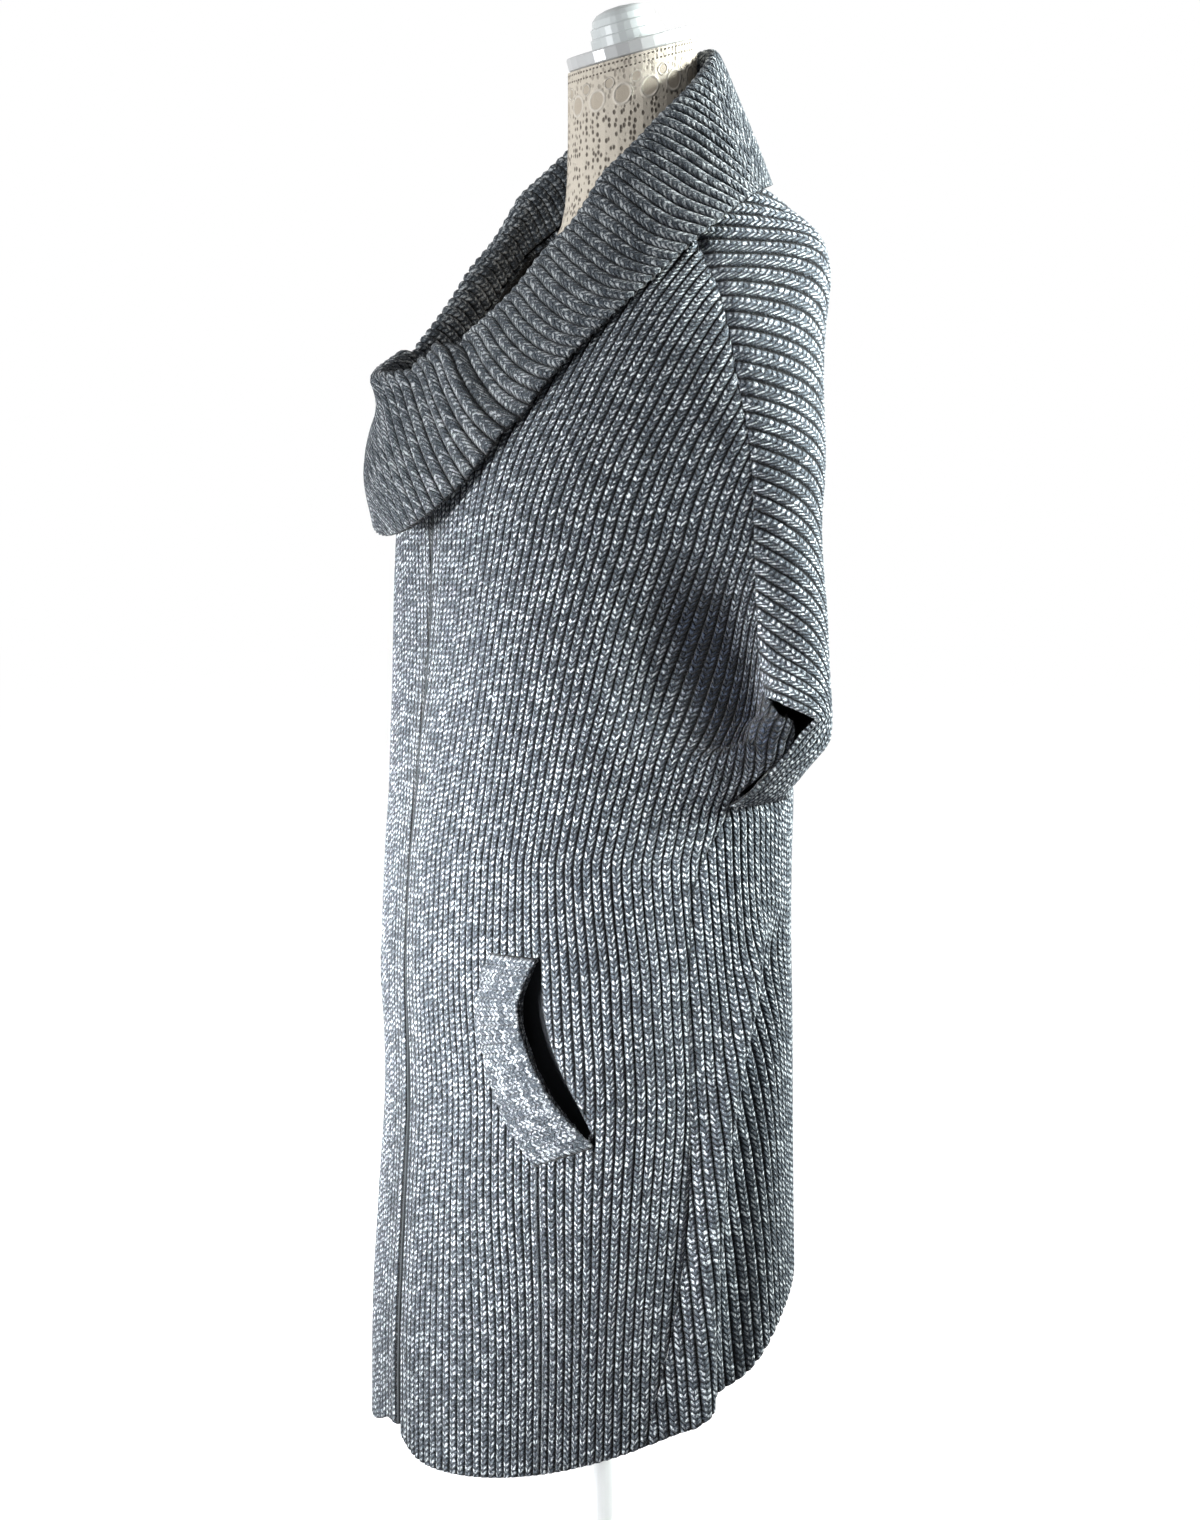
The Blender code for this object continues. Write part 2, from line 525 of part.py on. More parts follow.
def build_slider(top):
    """Slider with the staple its pull tab hangs from. The tab's hinge runs along X."""
    width, height, depth = SLIDER["width"], SLIDER["height"], SLIDER["depth"]
    face_y = float(top[1]) - SLIDER["proud"]
    centre_z = float(top[2]) + 2.0 * SEAM_GAP + height / 2.0
    slider = box("zip_slider", (width, depth, height), (0.0, face_y + depth / 2.0, centre_z))
    bevel = slider.modifiers.new("edges", "BEVEL")
    bevel.width = SLIDER["edge"]
    bevel.segments = 2
    bar, loop, root, loop_height = (SLIDER[key] for key in ("loop_bar", "loop", "loop_root", "loop_height"))
    staple_y = face_y - (loop - root) / 2.0
    staple = box("staple", (bar, loop + root, loop_height), (0.0, staple_y, centre_z), CUTTERS)
    space = box("staple_space", (bar * 3.0, loop - bar, loop_height - 2.0 * bar),
                (0.0, face_y - (loop - bar) / 2.0, centre_z), CUTTERS)
    cut(staple, space)
    cut(slider, staple, "UNION")
    paint(slider, "metal", 0.4, 0.8)

    eye_width, eye_length = TAB["eye"]
    head = TAB["bar"] / 2.0
    tab = box("zip_pull_tab", (TAB["width"], TAB["thick"], TAB["length"] + head),
              (0.0, 0.0, (head - TAB["length"]) / 2.0))
    eye = box("tab_eye", (eye_width, TAB["thick"] * 3.0, eye_length),
              (0.0, 0.0, -head - eye_length / 2.0), CUTTERS)
    axis = (0.0, face_y - (loop - bar) / 2.0, centre_z)
    tab.location = axis
    eye.location = axis
    cut(tab, eye)
    paint(tab, "metal", 0.4, 0.8)


# ---------------------------------------------------------------- dress form and stand
def build_form():
    turns = np.radians(np.arange(32) * 360.0 / 32.0)
    levels = np.linspace(0.0, len(FORM_RINGS) - 1.0, 33)
    turn, level = np.meshgrid(turns, levels)
    paint(ring_solid("form_torso", ring_point(FORM_RINGS, turn, level)), "form", 0.85)

    lean = Matrix.Translation((0.0, NECK["y"], NECK["z"] + SEAM_GAP))
    lean = lean @ Matrix.Rotation(math.radians(NECK["tilt"]), 4, "X")
    rim, top, edge = NECK["radius"], NECK["cap"], NECK["edge"]
    cap = turned("neck_cap", ((0.0, top), (rim - edge, top), (rim, top - edge),
                              (rim, edge), (rim - edge, 0.0), (0.0, 0.0)))
    cap.matrix_world = lean
    paint(cap, "cap", 0.35)
    knob = turned("cap_knob", tuple(reversed(KNOB_PROFILE)) + ((0.0, 0.0),))
    knob.matrix_world = lean @ Matrix.Translation((0.0, 0.0, top + SEAM_GAP))
    paint(knob, "knob", 0.4)


def build_stand():
    base, thick, hub, rise = STAND["base"], STAND["base_thick"], STAND["hub"], STAND["hub_height"]
    fillet, edge = STAND["fillet"], STAND["edge"]
    foot = turned("stand_base", ((0.0, rise), (hub - edge, rise), (hub, rise - edge), (hub, thick + fillet),
                                 (hub + fillet, thick + SEAM_GAP), (base - edge, thick), (base, thick - edge),
                                 (base, 0.0), (0.0, 0.0)), steps=48)
    paint(foot, "stand", 0.4, 0.0)
    form_bottom = FORM_RINGS[0][0]
    flange_top = form_bottom - SEAM_GAP
    flange_low = flange_top - STAND["flange_thick"]
    flange = turned("stand_flange", ((0.0, flange_top), (STAND["flange"], flange_top),
                                     (STAND["flange"], flange_low), (0.0, flange_low)))
    paint(flange, "stand", 0.4, 0.0)
    pole = turned("stand_pole", ((0.0, flange_low - SEAM_GAP), (STAND["pole"], flange_low - SEAM_GAP),
                                 (STAND["pole"], rise + SEAM_GAP), (0.0, rise + SEAM_GAP)), steps=24)
    paint(pole, "stand", 0.3, 0.0)


def main():
    left_front, right_front = build_fronts()
    build_back()
    build_pocket(1, left_front)
    build_pocket(-1, right_front)
    build_collar()
    top = build_zip()
    build_slider(top)
    build_form()
    build_stand()


main()
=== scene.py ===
import json
import math

import bpy
import bmesh
import numpy as np
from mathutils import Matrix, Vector

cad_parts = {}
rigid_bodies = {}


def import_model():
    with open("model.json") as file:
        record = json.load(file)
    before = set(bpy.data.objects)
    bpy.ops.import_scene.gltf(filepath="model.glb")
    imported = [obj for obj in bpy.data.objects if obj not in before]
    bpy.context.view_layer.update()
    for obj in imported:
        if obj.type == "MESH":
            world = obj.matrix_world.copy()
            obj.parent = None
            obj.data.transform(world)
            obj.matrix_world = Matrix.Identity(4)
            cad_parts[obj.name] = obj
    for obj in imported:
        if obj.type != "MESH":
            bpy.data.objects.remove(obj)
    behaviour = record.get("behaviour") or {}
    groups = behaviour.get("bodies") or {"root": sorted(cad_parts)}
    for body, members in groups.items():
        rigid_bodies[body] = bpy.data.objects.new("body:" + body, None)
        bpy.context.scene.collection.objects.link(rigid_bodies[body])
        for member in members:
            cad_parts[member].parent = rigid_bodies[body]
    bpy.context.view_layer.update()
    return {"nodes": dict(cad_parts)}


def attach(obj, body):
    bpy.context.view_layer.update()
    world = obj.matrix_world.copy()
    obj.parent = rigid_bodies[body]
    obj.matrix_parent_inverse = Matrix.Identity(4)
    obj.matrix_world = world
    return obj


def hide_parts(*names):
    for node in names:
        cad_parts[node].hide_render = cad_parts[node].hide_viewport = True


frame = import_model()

bodyName = "cardigan_on_form"

view = {"azimuth": 70.0, "distance": 3.0, "height": 1.10, "pitch": 3.3, "angle": 23.36}
studio = {
    "floor": 14.0, "cuts": 60, "floorColour": (0.55, 0.55, 0.56), "world": 0.02,
    "sweepFrom": 2.7, "sweepRise": 0.35,          # where the floor begins to rise, and how steeply
    "glow": (0.05, 1.0), "glowFrom": (0.1, 1.1),  # glow of the ground behind the form, from near to far
    "wall": 0.22, "wallFrom": (2.4, 4.4),         # glow of the far ground on every side
}
lamps = (
    # name, azimuth, distance, height, aim, width, spread, power, colour
    ("key", 10.0, 2.7, 0.90, 0.80, 0.8, 180.0, 80.0, (0.95, 0.98, 1.0)),
    ("kick", 24.0, 2.4, 0.78, 0.80, 0.4, 24.0, 3.6, (0.98, 0.99, 1.0)),
    ("top", 60.0, 1.0, 3.2, 1.0, 0.8, 180.0, 13.0, (0.97, 0.99, 1.0)),
    ("rear", 158.0, 2.1, 1.95, 1.17, 0.5, 50.0, 22.0, (0.93, 1.0, 0.98)),
    ("low", 160.0, 2.6, 0.80, 0.70, 0.8, 180.0, 4.0, (0.97, 1.0, 0.98)),
)


def around(azimuth, distance, height):
    turn = math.radians(azimuth)
    return Vector((distance * math.sin(turn), -distance * math.cos(turn), height))


def aim(thing, target):
    thing.rotation_euler = (Vector(target) - thing.location).to_track_quat("-Z", "Y").to_euler()


def buildCamera():
    bpy.ops.object.camera_add(location=around(view["azimuth"], view["distance"], view["height"]))
    camera = bpy.context.object
    camera.rotation_euler = (math.radians(90.0 - view["pitch"]), 0.0, math.radians(view["azimuth"]))
    camera.data.sensor_fit = "VERTICAL"
    camera.data.angle_y = math.radians(view["angle"])
    bpy.context.scene.camera = camera


def buildStudio():
    bpy.context.scene.view_settings.view_transform = "Standard"
    world = bpy.data.worlds.new("studio")
    world.use_nodes = True
    bpy.context.scene.world = world
    background = world.node_tree.nodes["Background"]
    background.inputs["Color"].default_value = (1.0, 1.0, 1.0, 1.0)
    background.inputs["Strength"].default_value = studio["world"]
    for name, azimuth, distance, height, target, width, opening, power, colour in lamps:
        bpy.ops.object.light_add(type="AREA", location=around(azimuth, distance, height))
        lamp = bpy.context.object
        lamp.name = name
        lamp.data.shape = "SQUARE"
        lamp.data.size = width
        lamp.data.spread = math.radians(opening)
        lamp.data.energy = power
        lamp.data.color = colour
        aim(lamp, (0.0, 0.0, target))
    bpy.ops.mesh.primitive_plane_add(size=studio["floor"])
    floor = bpy.context.object
    floor.name = "floor"
    # the floor runs up all round as one soft sweep
    mesh = bmesh.new()
    mesh.from_mesh(floor.data)
    bmesh.ops.subdivide_edges(mesh, edges=mesh.edges, cuts=studio["cuts"], use_grid_fill=True)
    for vert in mesh.verts:
        away = vert.co.length - studio["sweepFrom"]
        if away > 0.0:
            vert.co.z = studio["sweepRise"] * away ** 2
    mesh.to_mesh(floor.data)
    mesh.free()
    floor.data.shade_smooth()
    finish, shader = newMaterial("floorPaper", roughness=0.9)
    fill(shader, {"Specular IOR Level": 0.0, "Emission Color": (1.0, 1.0, 1.0, 1.0)})
    # the paper glows behind the form only, so that little light comes up from the floor
    backward = around(view["azimuth"] + 180.0, 1.0, 0.0)
    behind = vectorCalc("DOT_PRODUCT", "Value", objectPlace(), backward)
    distance = vectorCalc("LENGTH", "Value", objectPlace())
    # far out the sweep only glows faintly, so that every side has the same plain ground
    far = spread(distance, *studio["wallFrom"])
    colour = blend(far, (*studio["floorColour"], 1.0), (0.0, 0.0, 0.0, 1.0))
    glow = spread(behind, *studio["glowFrom"], *studio["glow"])
    glow = calc("MAXIMUM", glow, times(far, studio["wall"]))
    fill(shader, {"Base Color": colour, "Emission Strength": glow})
    floor.data.materials.append(finish)


current = {}    # the node tree that the functions below add to


def newMaterial(name, roughness=0.8, metallic=0.0):
    finish = bpy.data.materials.new(name)
    finish.use_nodes = True
    current["tree"] = finish.node_tree
    shader = finish.node_tree.nodes["Principled BSDF"]
    fill(shader, {"Roughness": roughness, "Metallic": metallic})
    return finish, shader


def addNode(kind):
    return current["tree"].nodes.new("ShaderNode" + kind)


def link(output, socket):
    current["tree"].links.new(output, socket)


# links a socket, or sets its value
def plug(socket, value):
    if hasattr(value, "links"):
        link(value, socket)
    else:
        socket.default_value = value


def fill(node, values):
    for name, value in values.items():
        plug(node.inputs[name], value)


# a new node with its first sockets filled in order
def feed(kind, *values):
    made = addNode(kind)
    for socket, value in zip(made.inputs, values):
        plug(socket, value)
    return made


def calc(operation, *values):
    made = feed("Math", *values)
    made.operation = operation
    return made.outputs[0]


def mathNode(operation):
    return lambda *values: calc(operation, *values)


times, plus, minus, toPower = (mathNode(kind) for kind in ("MULTIPLY", "ADD", "SUBTRACT", "POWER"))
scaled, absolute = (mathNode(kind) for kind in ("MULTIPLY_ADD", "ABSOLUTE"))
wholePart, fraction = (mathNode(kind) for kind in ("FLOOR", "FRACT"))


def vectorCalc(operation, output, *values):
    made = feed("VectorMath", *values)
    made.operation = operation
    return made.outputs[output]


def split(vector):
    return feed("SeparateXYZ", vector).outputs


def blend(factor, low, high, kind="MIX"):
    made = addNode("Mix")
    made.data_type = "RGBA"
    made.blend_type = kind
    plug(made.inputs[0], factor)
    plug(made.inputs[6], low)
    plug(made.inputs[7], high)
    return made.outputs[2]


def spread(value, low, high, toLow=0.0, toHigh=1.0):
    made = feed("MapRange", value, low, high, toLow, toHigh)
    made.interpolation_type = "SMOOTHSTEP"
    return made.outputs[0]


def combine(*values):
    return feed("CombineXYZ", *values).outputs[0]


def noise(vector, scale, detail=2.0, rough=0.5):
    made = addNode("TexNoise")
    fill(made, {"Vector": vector, "Scale": scale, "Detail": detail, "Roughness": rough})
    return made.outputs["Fac"]


def randomCell(vector):
    return feed("TexWhiteNoise", vector).outputs["Value"]


def bump(shader, height, distance, strength=1.0):
    made = addNode("Bump")
    fill(made, {"Distance": distance, "Strength": strength, "Height": height})
    link(made.outputs[0], shader.inputs["Normal"])


def objectPlace():
    return addNode("TexCoord").outputs["Object"]


knit = {
    "stitch": 0.0046,         # height of one stitch
    "wale": 0.40,             # half width of the raised column of stitches, in ribs
    "slant": 1.5,             # how steeply a stitch's two legs rise, in stitches per rib
    "leg": 0.62,              # half width of a leg, as a share of the wale
    "round": (2.2, 0.75, 0.6),                # roundness of a stitch: its ends, along it, across a leg
    "dark": (0.007, 0.010, 0.015), "middle": (0.086, 0.104, 0.126), "light": (0.74, 0.78, 0.81),
    "wander": (260.0, 0.60, 0.40), "fray": (640.0, 0.22),   # scale and size of the yarn's unevenness
    "patch": 620.0, "fibre": (11.0, 3.4), "mix": (0.22, 0.60, 0.92),    # what makes up the flecks
    "toMiddle": (0.50, 0.76), "toLight": (0.82, 1.04),      # where the flecks turn from dark to light
    "rough": 0.92, "sheen": 0.12, "sheenRough": 0.5, "specular": 0.2, "relief": 0.004,
    "shut": (0.0036, 0.0064, 0.30),           # painted shade beside the zip: from, to, how much light is left
    "foldAt": (0.020, 0.36, 1.000), "foldSize": (0.056, 0.125),   # painted shade in the fold: y, slope, height; sizes
    "foldSide": (0.12, 0.15), "foldShade": (0.08, 0.10, 0.15),
}


# marled yarn in columns of V stitches. The UV map counts ribs across and stitches along
def knitMaterial(name, shade=1.0, flecks=0.0, groove=(0.49, 0.30, 0.14), weave=0.60, paintedShade=False):
    finish, shader = newMaterial(name, knit["rough"])
    uv = addNode("UVMap")
    uv.uv_map = "knit"
    ribs, stitches = split(uv.outputs[0])[:2]
    place = objectPlace()
    scale, size, share = knit["wander"]
    wander = scaled(noise(place, scale), size, -size / 2.0)
    scale, size = knit["fray"]
    fray = scaled(noise(place, scale), size, -size / 2.0)
    across = plus(ribs, scaled(wander, share, fray))
    phase = randomCell(combine(wholePart(across), 5.0, 0.0))
    along = plus(stitches, scaled(phase, 0.7, wander))

    inRib = minus(fraction(across), 0.5)
    off = absolute(inRib)
    side = calc("SIGN", inRib)
    raised = minus(along, times(off, knit["slant"]))
    cell = wholePart(raised)
    inStitch = minus(fraction(raised), 0.5)

    ends, lengthwise, sideways = knit["round"]
    body = minus(1.0, toPower(absolute(times(inStitch, 2.0)), ends))
    legOff = calc("DIVIDE", minus(off, knit["wale"] / 2.0), knit["wale"] * knit["leg"])
    leg = calc("MAXIMUM", minus(1.0, times(legOff, legOff)), 0.0)
    yarn = times(toPower(body, lengthwise), toPower(leg, sideways))

    chance = randomCell(combine(plus(times(wholePart(across), 2.0), side), cell, 3.0))
    perRib, perStitch = knit["fibre"]
    fibre = combine(times(across, perRib), times(raised, perStitch), 0.0)
    fibre = noise(fibre, 1.0, 3.0, 0.7)
    patch = noise(place, knit["patch"], 3.0, 0.7)
    fleck = flecks
    for part, share in zip((chance, fibre, patch), knit["mix"]):
        fleck = scaled(part, share, fleck)
    # painted shade: the flecks darken between the stitches' legs, where the yarn dips
    fleck = times(fleck, scaled(yarn, weave, 1.07 - weave))

    dark, middle, light = ((*(shade * part for part in knit[key]), 1.0) for key in ("dark", "middle", "light"))
    colour = blend(spread(fleck, *knit["toMiddle"]), dark, middle)
    colour = blend(spread(fleck, *knit["toLight"]), colour, light)
    # painted shade: the colour darkens towards the grooves between the ribs
    ragged = scaled(minus(patch, 0.5), 0.35, off)
    colour = darken(colour, spread(ragged, *groove, 1.0))
    if paintedShade:
        # painted shade: the front edges beside the zip and the bottom of the fold ahead of the sleeve are
        # darkened in the colour, where they lie in shade
        x, y, z = split(place)
        x = absolute(x)
        start, slope, height = knit["foldAt"]
        thick, tall = knit["foldSize"]
        beside = absolute(minus(y, scaled(z, -slope, start + slope * height)))
        above = absolute(minus(z, height))
        foldShadeMask = times(spread(beside, thick, 0.012), spread(above, tall, 0.04))
        foldShadeMask = times(foldShadeMask, spread(x, *knit["foldSide"]))
        colour = darken(colour, spread(x, *knit["shut"], 1.0))
        shaded = blend(foldShadeMask, (1.0, 1.0, 1.0, 1.0), (*knit["foldShade"], 1.0))
        colour = blend(1.0, colour, shaded, "MULTIPLY")
    fill(shader, {"Base Color": colour, "Sheen Weight": knit["sheen"], "Sheen Roughness": knit["sheenRough"],
                  "Specular IOR Level": knit["specular"]})
    bump(shader, plus(yarn, times(fibre, 0.35)), knit["relief"] * weave)
    return finish


def darken(colour, grey):
    return blend(1.0, colour, combine(grey, grey, grey), "MULTIPLY")


# the cardigan's surfaces, as its solids have them: rings from the hem up, and round the collar's fold
ringColumns = ("frontZ", "sideZ", "backZ", "halfWidth", "midY", "frontReach", "backReach",
               "frontPower", "backPower", "frontRise", "backRise")
bodyRings = (
    (0.372, 0.431, 0.552, 0.240, -0.012, 0.1630, 0.145, 2.30, 2.3),
    (0.468, 0.500, 0.610, 0.236, -0.012, 0.1625, 0.145, 2.30, 2.3),
    (0.566, 0.585, 0.675, 0.230, -0.012, 0.1580, 0.146, 2.25, 2.3),
    (0.660, 0.670, 0.735, 0.225, -0.012, 0.1535, 0.147, 2.20, 2.3),
    (0.760, 0.765, 0.795, 0.220, -0.012, 0.1555, 0.147, 2.30, 2.3),
    (0.845, 0.845, 0.855, 0.213, -0.010, 0.1540, 0.147, 2.40, 2.3),
    (0.900, 0.900, 0.905, 0.209, -0.008, 0.1505, 0.145, 2.55, 2.4),
    (0.945, 0.945, 0.950, 0.208, -0.007, 0.1475, 0.142, 2.75, 2.4),
    (0.985, 0.985, 0.990, 0.207, -0.006, 0.1440, 0.137, 3.00, 2.4),
    (1.035, 1.040, 1.045, 0.206, -0.006, 0.1400, 0.132, 3.30, 2.4),
    (1.085, 1.110, 1.125, 0.205, -0.005, 0.1395, 0.120, 3.30, 2.4),
    (1.120, 1.172, 1.205, 0.204, -0.005, 0.1390, 0.133, 3.10, 2.6),
    (1.142, 1.226, 1.280, 0.199, -0.005, 0.1390, 0.154, 2.70, 3.2),
    (1.158, 1.272, 1.340, 0.184, -0.010, 0.1370, 0.157, 2.30, 5.0),
    (1.172, 1.300, 1.378, 0.158, -0.018, 0.1300, 0.146, 2.00, 3.6),
    (1.184, 1.320, 1.413, 0.129, -0.025, 0.1240, 0.125, 1.80, 2.4),
    (1.197, 1.342, 1.436, 0.099, -0.030, 0.1180, 0.116, 1.65, 2.2),
)
bodyTop = len(bodyRings) - 1
seamColumns = ("angle", "frontGap")
seamRows = (
    (81.0, 0.0024), (86.0, 0.0024), (90.0, 0.0022), (91.0, 0.0020), (91.5, 0.0016), (93.0, 0.0014),
    (101.3, 0.0013), (104.2, 0.0013), (100.9, 0.0013), (99.8, 0.0013), (98.5, 0.0013), (98.0, 0.0013),
    (98.0, 0.0014), (101.0, 0.0048), (106.0, 0.0052), (112.0, 0.0052), (118.0, 0.0052),
)
collarRings = (
    (1.2000, 1.345, 1.439, 0.0990, -0.030, 0.1180, 0.1160, 1.65, 2.2, 1.0, 1.0),
    (1.2130, 1.366, 1.466, 0.0970, -0.031, 0.1310, 0.1160, 1.65, 2.2, 1.2, 1.0),
    (1.2250, 1.382, 1.490, 0.0950, -0.032, 0.1440, 0.1180, 1.65, 2.2, 1.4, 1.0),
    (1.2310, 1.391, 1.502, 0.0990, -0.032, 0.1500, 0.1220, 1.65, 2.2, 1.4, 1.0),
    (1.2250, 1.387, 1.495, 0.1070, -0.032, 0.1530, 0.1270, 1.70, 2.2, 1.4, 1.0),
    (1.1950, 1.359, 1.468, 0.1280, -0.031, 0.1530, 0.1350, 1.85, 2.2, 1.2, 1.1),
    (1.1520, 1.323, 1.428, 0.1480, -0.030, 0.1510, 0.1450, 2.00, 2.4, 1.0, 1.3),
    (1.1110, 1.293, 1.390, 0.1630, -0.030, 0.1450, 0.1540, 2.20, 2.6, 0.9, 1.6),
)
arm = {"reach": 0.064, "angle": 109.0, "spread": 22.0, "foot": (0.897, 0.950), "top": (1.140, 1.355)}
armBack = {"from": 104.0, "over": 21.0, "rise": (0.018, 0.007)}
tuck = {"share": 0.22, "angle": 108.0, "spread": 9.0, "height": (0.950, 0.972)}
hollow = {"angle": 84.0, "spread": 12.0, "height": 0.985, "rise": 0.060, "depth": 0.020}
hemTuck = {"rise": 0.020, "angle": -7.0, "spread": 17.0, "rings": 1.2}
hemSag = {"drop": 0.014, "angle": 103.0, "spread": 7.0}
foldLine = ((111.0, 0.815), (106.4, 0.768), (101.0, 0.705), (96.9, 0.638), (94.2, 0.560), (92.4, 0.470),
            (91.5, 0.400))
fold = {"ridge": 0.0040, "ridgeSpread": 3.6, "trough": 0.0065, "troughSpread": 5.5, "apart": 7.5,
        "top": (0.750, 0.830)}
lap = {"lift": 0.0027, "fade": 55.0}


def smoothStep(low, high, value):
    t = np.clip((value - low) / (high - low), 0.0, 1.0)
    return t * t * (3.0 - 2.0 * t)


def hump(value, centre, width):
    return np.exp(-((value - centre) / width) ** 2)


def readTable(rows, columns, name, level):
    values = np.array([row[columns.index(name)] for row in rows])
    level = np.clip(level, 0.0, len(values) - 1.0)
    index = np.minimum(np.floor(level).astype(int), len(values) - 2)
    t = level - index
    slope = np.gradient(values)
    start, end = values[index], values[index + 1]
    return ((2 * t**3 - 3 * t**2 + 1) * start + (t**3 - 2 * t**2 + t) * slope[index]
            + (3 * t**2 - 2 * t**3) * end + (t**3 - t**2) * slope[index + 1])


def ringPoint(rows, turn, level, swell=None):
    turn, level = np.broadcast_arrays(np.asarray(turn, float), np.asarray(level, float))
    read = {name: readTable(rows, ringColumns, name, level) for name in ringColumns[:len(rows[0])]}
    ahead = np.cos(turn)
    front = ahead >= 0.0
    reach = np.where(front, read["frontReach"], read["backReach"])
    power = np.where(front, read["frontPower"], read["backPower"])
    across = np.sin(turn) / read["halfWidth"]
    radius = (np.abs(ahead / reach) ** power + np.abs(across) ** power) ** (-1 / power)
    share = np.clip(radius * np.abs(ahead) / reach, 0.0, 1.0)
    endZ = np.where(front, read["frontZ"], read["backZ"])
    rise = np.where(front, read.get("frontRise", 1.0), read.get("backRise", 1.0))
    z = read["sideZ"] + (endZ - read["sideZ"]) * (1.0 - (1.0 - share) ** rise)
    if swell is not None:
        out, up = swell(turn, level, z)
        radius = radius + out
        z = z + up
    return np.stack([radius * np.sin(turn), read["midY"] - radius * ahead, z], axis=-1)


# a ridge beside a trough, down the line of the fold behind each side
def sideCrease(angle, height, size):
    lineAngles, lineHeights = zip(*reversed(foldLine))
    off = angle - np.interp(height, lineHeights, lineAngles)
    crease = size["ridge"] * hump(off, 0.0, fold["ridgeSpread"])
    crease = crease - size["trough"] * hump(off, fold["apart"], fold["troughSpread"])
    return crease * (1.0 - smoothStep(*fold["top"], height))


# sleeves, hollows, folds and hem on the plain rings: how far outward and upward
def bodySwell(turn, level, z):
    angle = np.degrees(np.arccos(np.clip(np.cos(turn), -1.0, 1.0)))
    behind = np.clip((angle - armBack["from"]) / armBack["over"], 0.0, 1.0)
    foot = [height + rise * behind for height, rise in zip(arm["foot"], armBack["rise"])]
    sleeve = hump(angle, arm["angle"], arm["spread"]) * smoothStep(*foot, z)
    sleeve = sleeve * (1.0 - smoothStep(*arm["top"], z))
    drawn = hump(angle, tuck["angle"], tuck["spread"]) * (1.0 - smoothStep(*tuck["height"], z))
    sunk = hump(angle, hollow["angle"], hollow["spread"]) * hump(z, hollow["height"], hollow["rise"])
    out = arm["reach"] * sleeve * (1.0 - tuck["share"] * drawn) - hollow["depth"] * sunk
    out = out + sideCrease(angle, z, fold)
    signed = (np.degrees(turn) + 180.0) % 360.0 - 180.0
    up = hemTuck["rise"] * hump(signed, hemTuck["angle"], hemTuck["spread"])
    up = up - hemSag["drop"] * hump(angle, hemSag["angle"], hemSag["spread"])
    return out, up * (1.0 - smoothStep(0.0, hemTuck["rings"], level))


def bodyFace(turn, level):
    return ringPoint(bodyRings, turn, level, bodySwell)


# the same surface with turns counted the other way round for the wearer's right
def bodySide(side):
    return lambda turn, level: bodyFace(side * turn, level)


# how far the collar's two ends stand apart where they lap
def lapLift(turn, level):
    degrees = np.degrees(turn)
    leftEnd = 1.0 - smoothStep(0.0, lap["fade"], degrees)
    rightEnd = smoothStep(360.0 - lap["fade"], 360.0, degrees)
    return lap["lift"] * (leftEnd - rightEnd) * smoothStep(0.0, 1.0, level)


def collarFace(turn, level):
    return ringPoint(collarRings, turn, level)


# unit normals of a surface, on the side away from its middle line
def outward(face, turn, level):
    step = 1e-4
    across = face(turn + step, level) - face(turn - step, level)
    upward = face(turn, level + step) - face(turn, level - step)
    normal = np.cross(across, upward)
    return normal / np.linalg.norm(normal, axis=-1, keepdims=True)


def seamTurn(level):
    return np.radians(readTable(seamRows, seamColumns, "angle", level))


# width walked along each row of points, with what only climbs the slope left out
def sidestep(face, turn, level):
    places = face(turn, level)
    normal = outward(face, turn, level)
    flat = np.stack([-normal[..., 1], normal[..., 0], np.zeros(normal.shape[:-1])], axis=-1)
    flat /= np.maximum(np.linalg.norm(flat, axis=-1, keepdims=True), 1e-9)
    flat = (flat[..., 1:, :] + flat[..., :-1, :]) / 2.0
    walked = np.abs(np.sum(np.diff(places, axis=-2) * flat, axis=-1))
    start = np.zeros(walked.shape[:-1] + (1,))
    return np.concatenate([start, np.cumsum(walked, axis=-1)], axis=-1)


ribSteps = (0.0, 0.13, 0.30, 0.50, 0.70, 0.87)     # where a rib's columns of points lie, groove to groove
relief = {"crest": 0.0009, "round": 2.5, "groove": 0.0016, "sharp": 5.0}


# rib numbers of the columns of points from one rib to another
def ribColumns(first, last):
    whole = np.arange(math.floor(first), math.ceil(last) + 1)
    every = (whole[:, None] + np.array(ribSteps)[None]).ravel()
    inside = every[(every > first + 0.02) & (every < last - 0.02)]
    return np.concatenate([[first], inside, [last]])


# height of the ribs: a rounded crest between narrow grooves at the whole numbers
def ribRelief(rib):
    off = 2.0 * np.abs(rib - np.floor(rib) - 0.5)
    return relief["crest"] * (1.0 - off ** relief["round"]) - relief["groove"] * off ** relief["sharp"]


def deselectAll():
    for thing in bpy.context.view_layer.objects:
        thing.select_set(False)


# a grid primitive whose points take these places, with its knit map. Rows run up, columns to +turn
def clothGrid(name, places, rib, stitch):
    deselectAll()
    rows, columns = places.shape[:2]
    bpy.ops.mesh.primitive_grid_add(x_subdivisions=columns - 1, y_subdivisions=rows - 1, size=1.0)
    piece = bpy.context.object
    piece.name = name
    piece.data.name = name
    mesh = piece.data
    while mesh.uv_layers:
        mesh.uv_layers.remove(mesh.uv_layers[0])
    mesh.vertices.foreach_set("co", places.reshape(-1).astype(np.float32))
    corner = np.zeros(len(mesh.loops), np.int32)
    mesh.loops.foreach_get("vertex_index", corner)
    layer = mesh.uv_layers.new(name="knit")
    pairs = np.stack([np.broadcast_to(rib, (rows, columns)), stitch], axis=-1).reshape(-1, 2)
    layer.data.foreach_set("uv", pairs[corner].reshape(-1).astype(np.float32))
    mesh.update()
    return piece


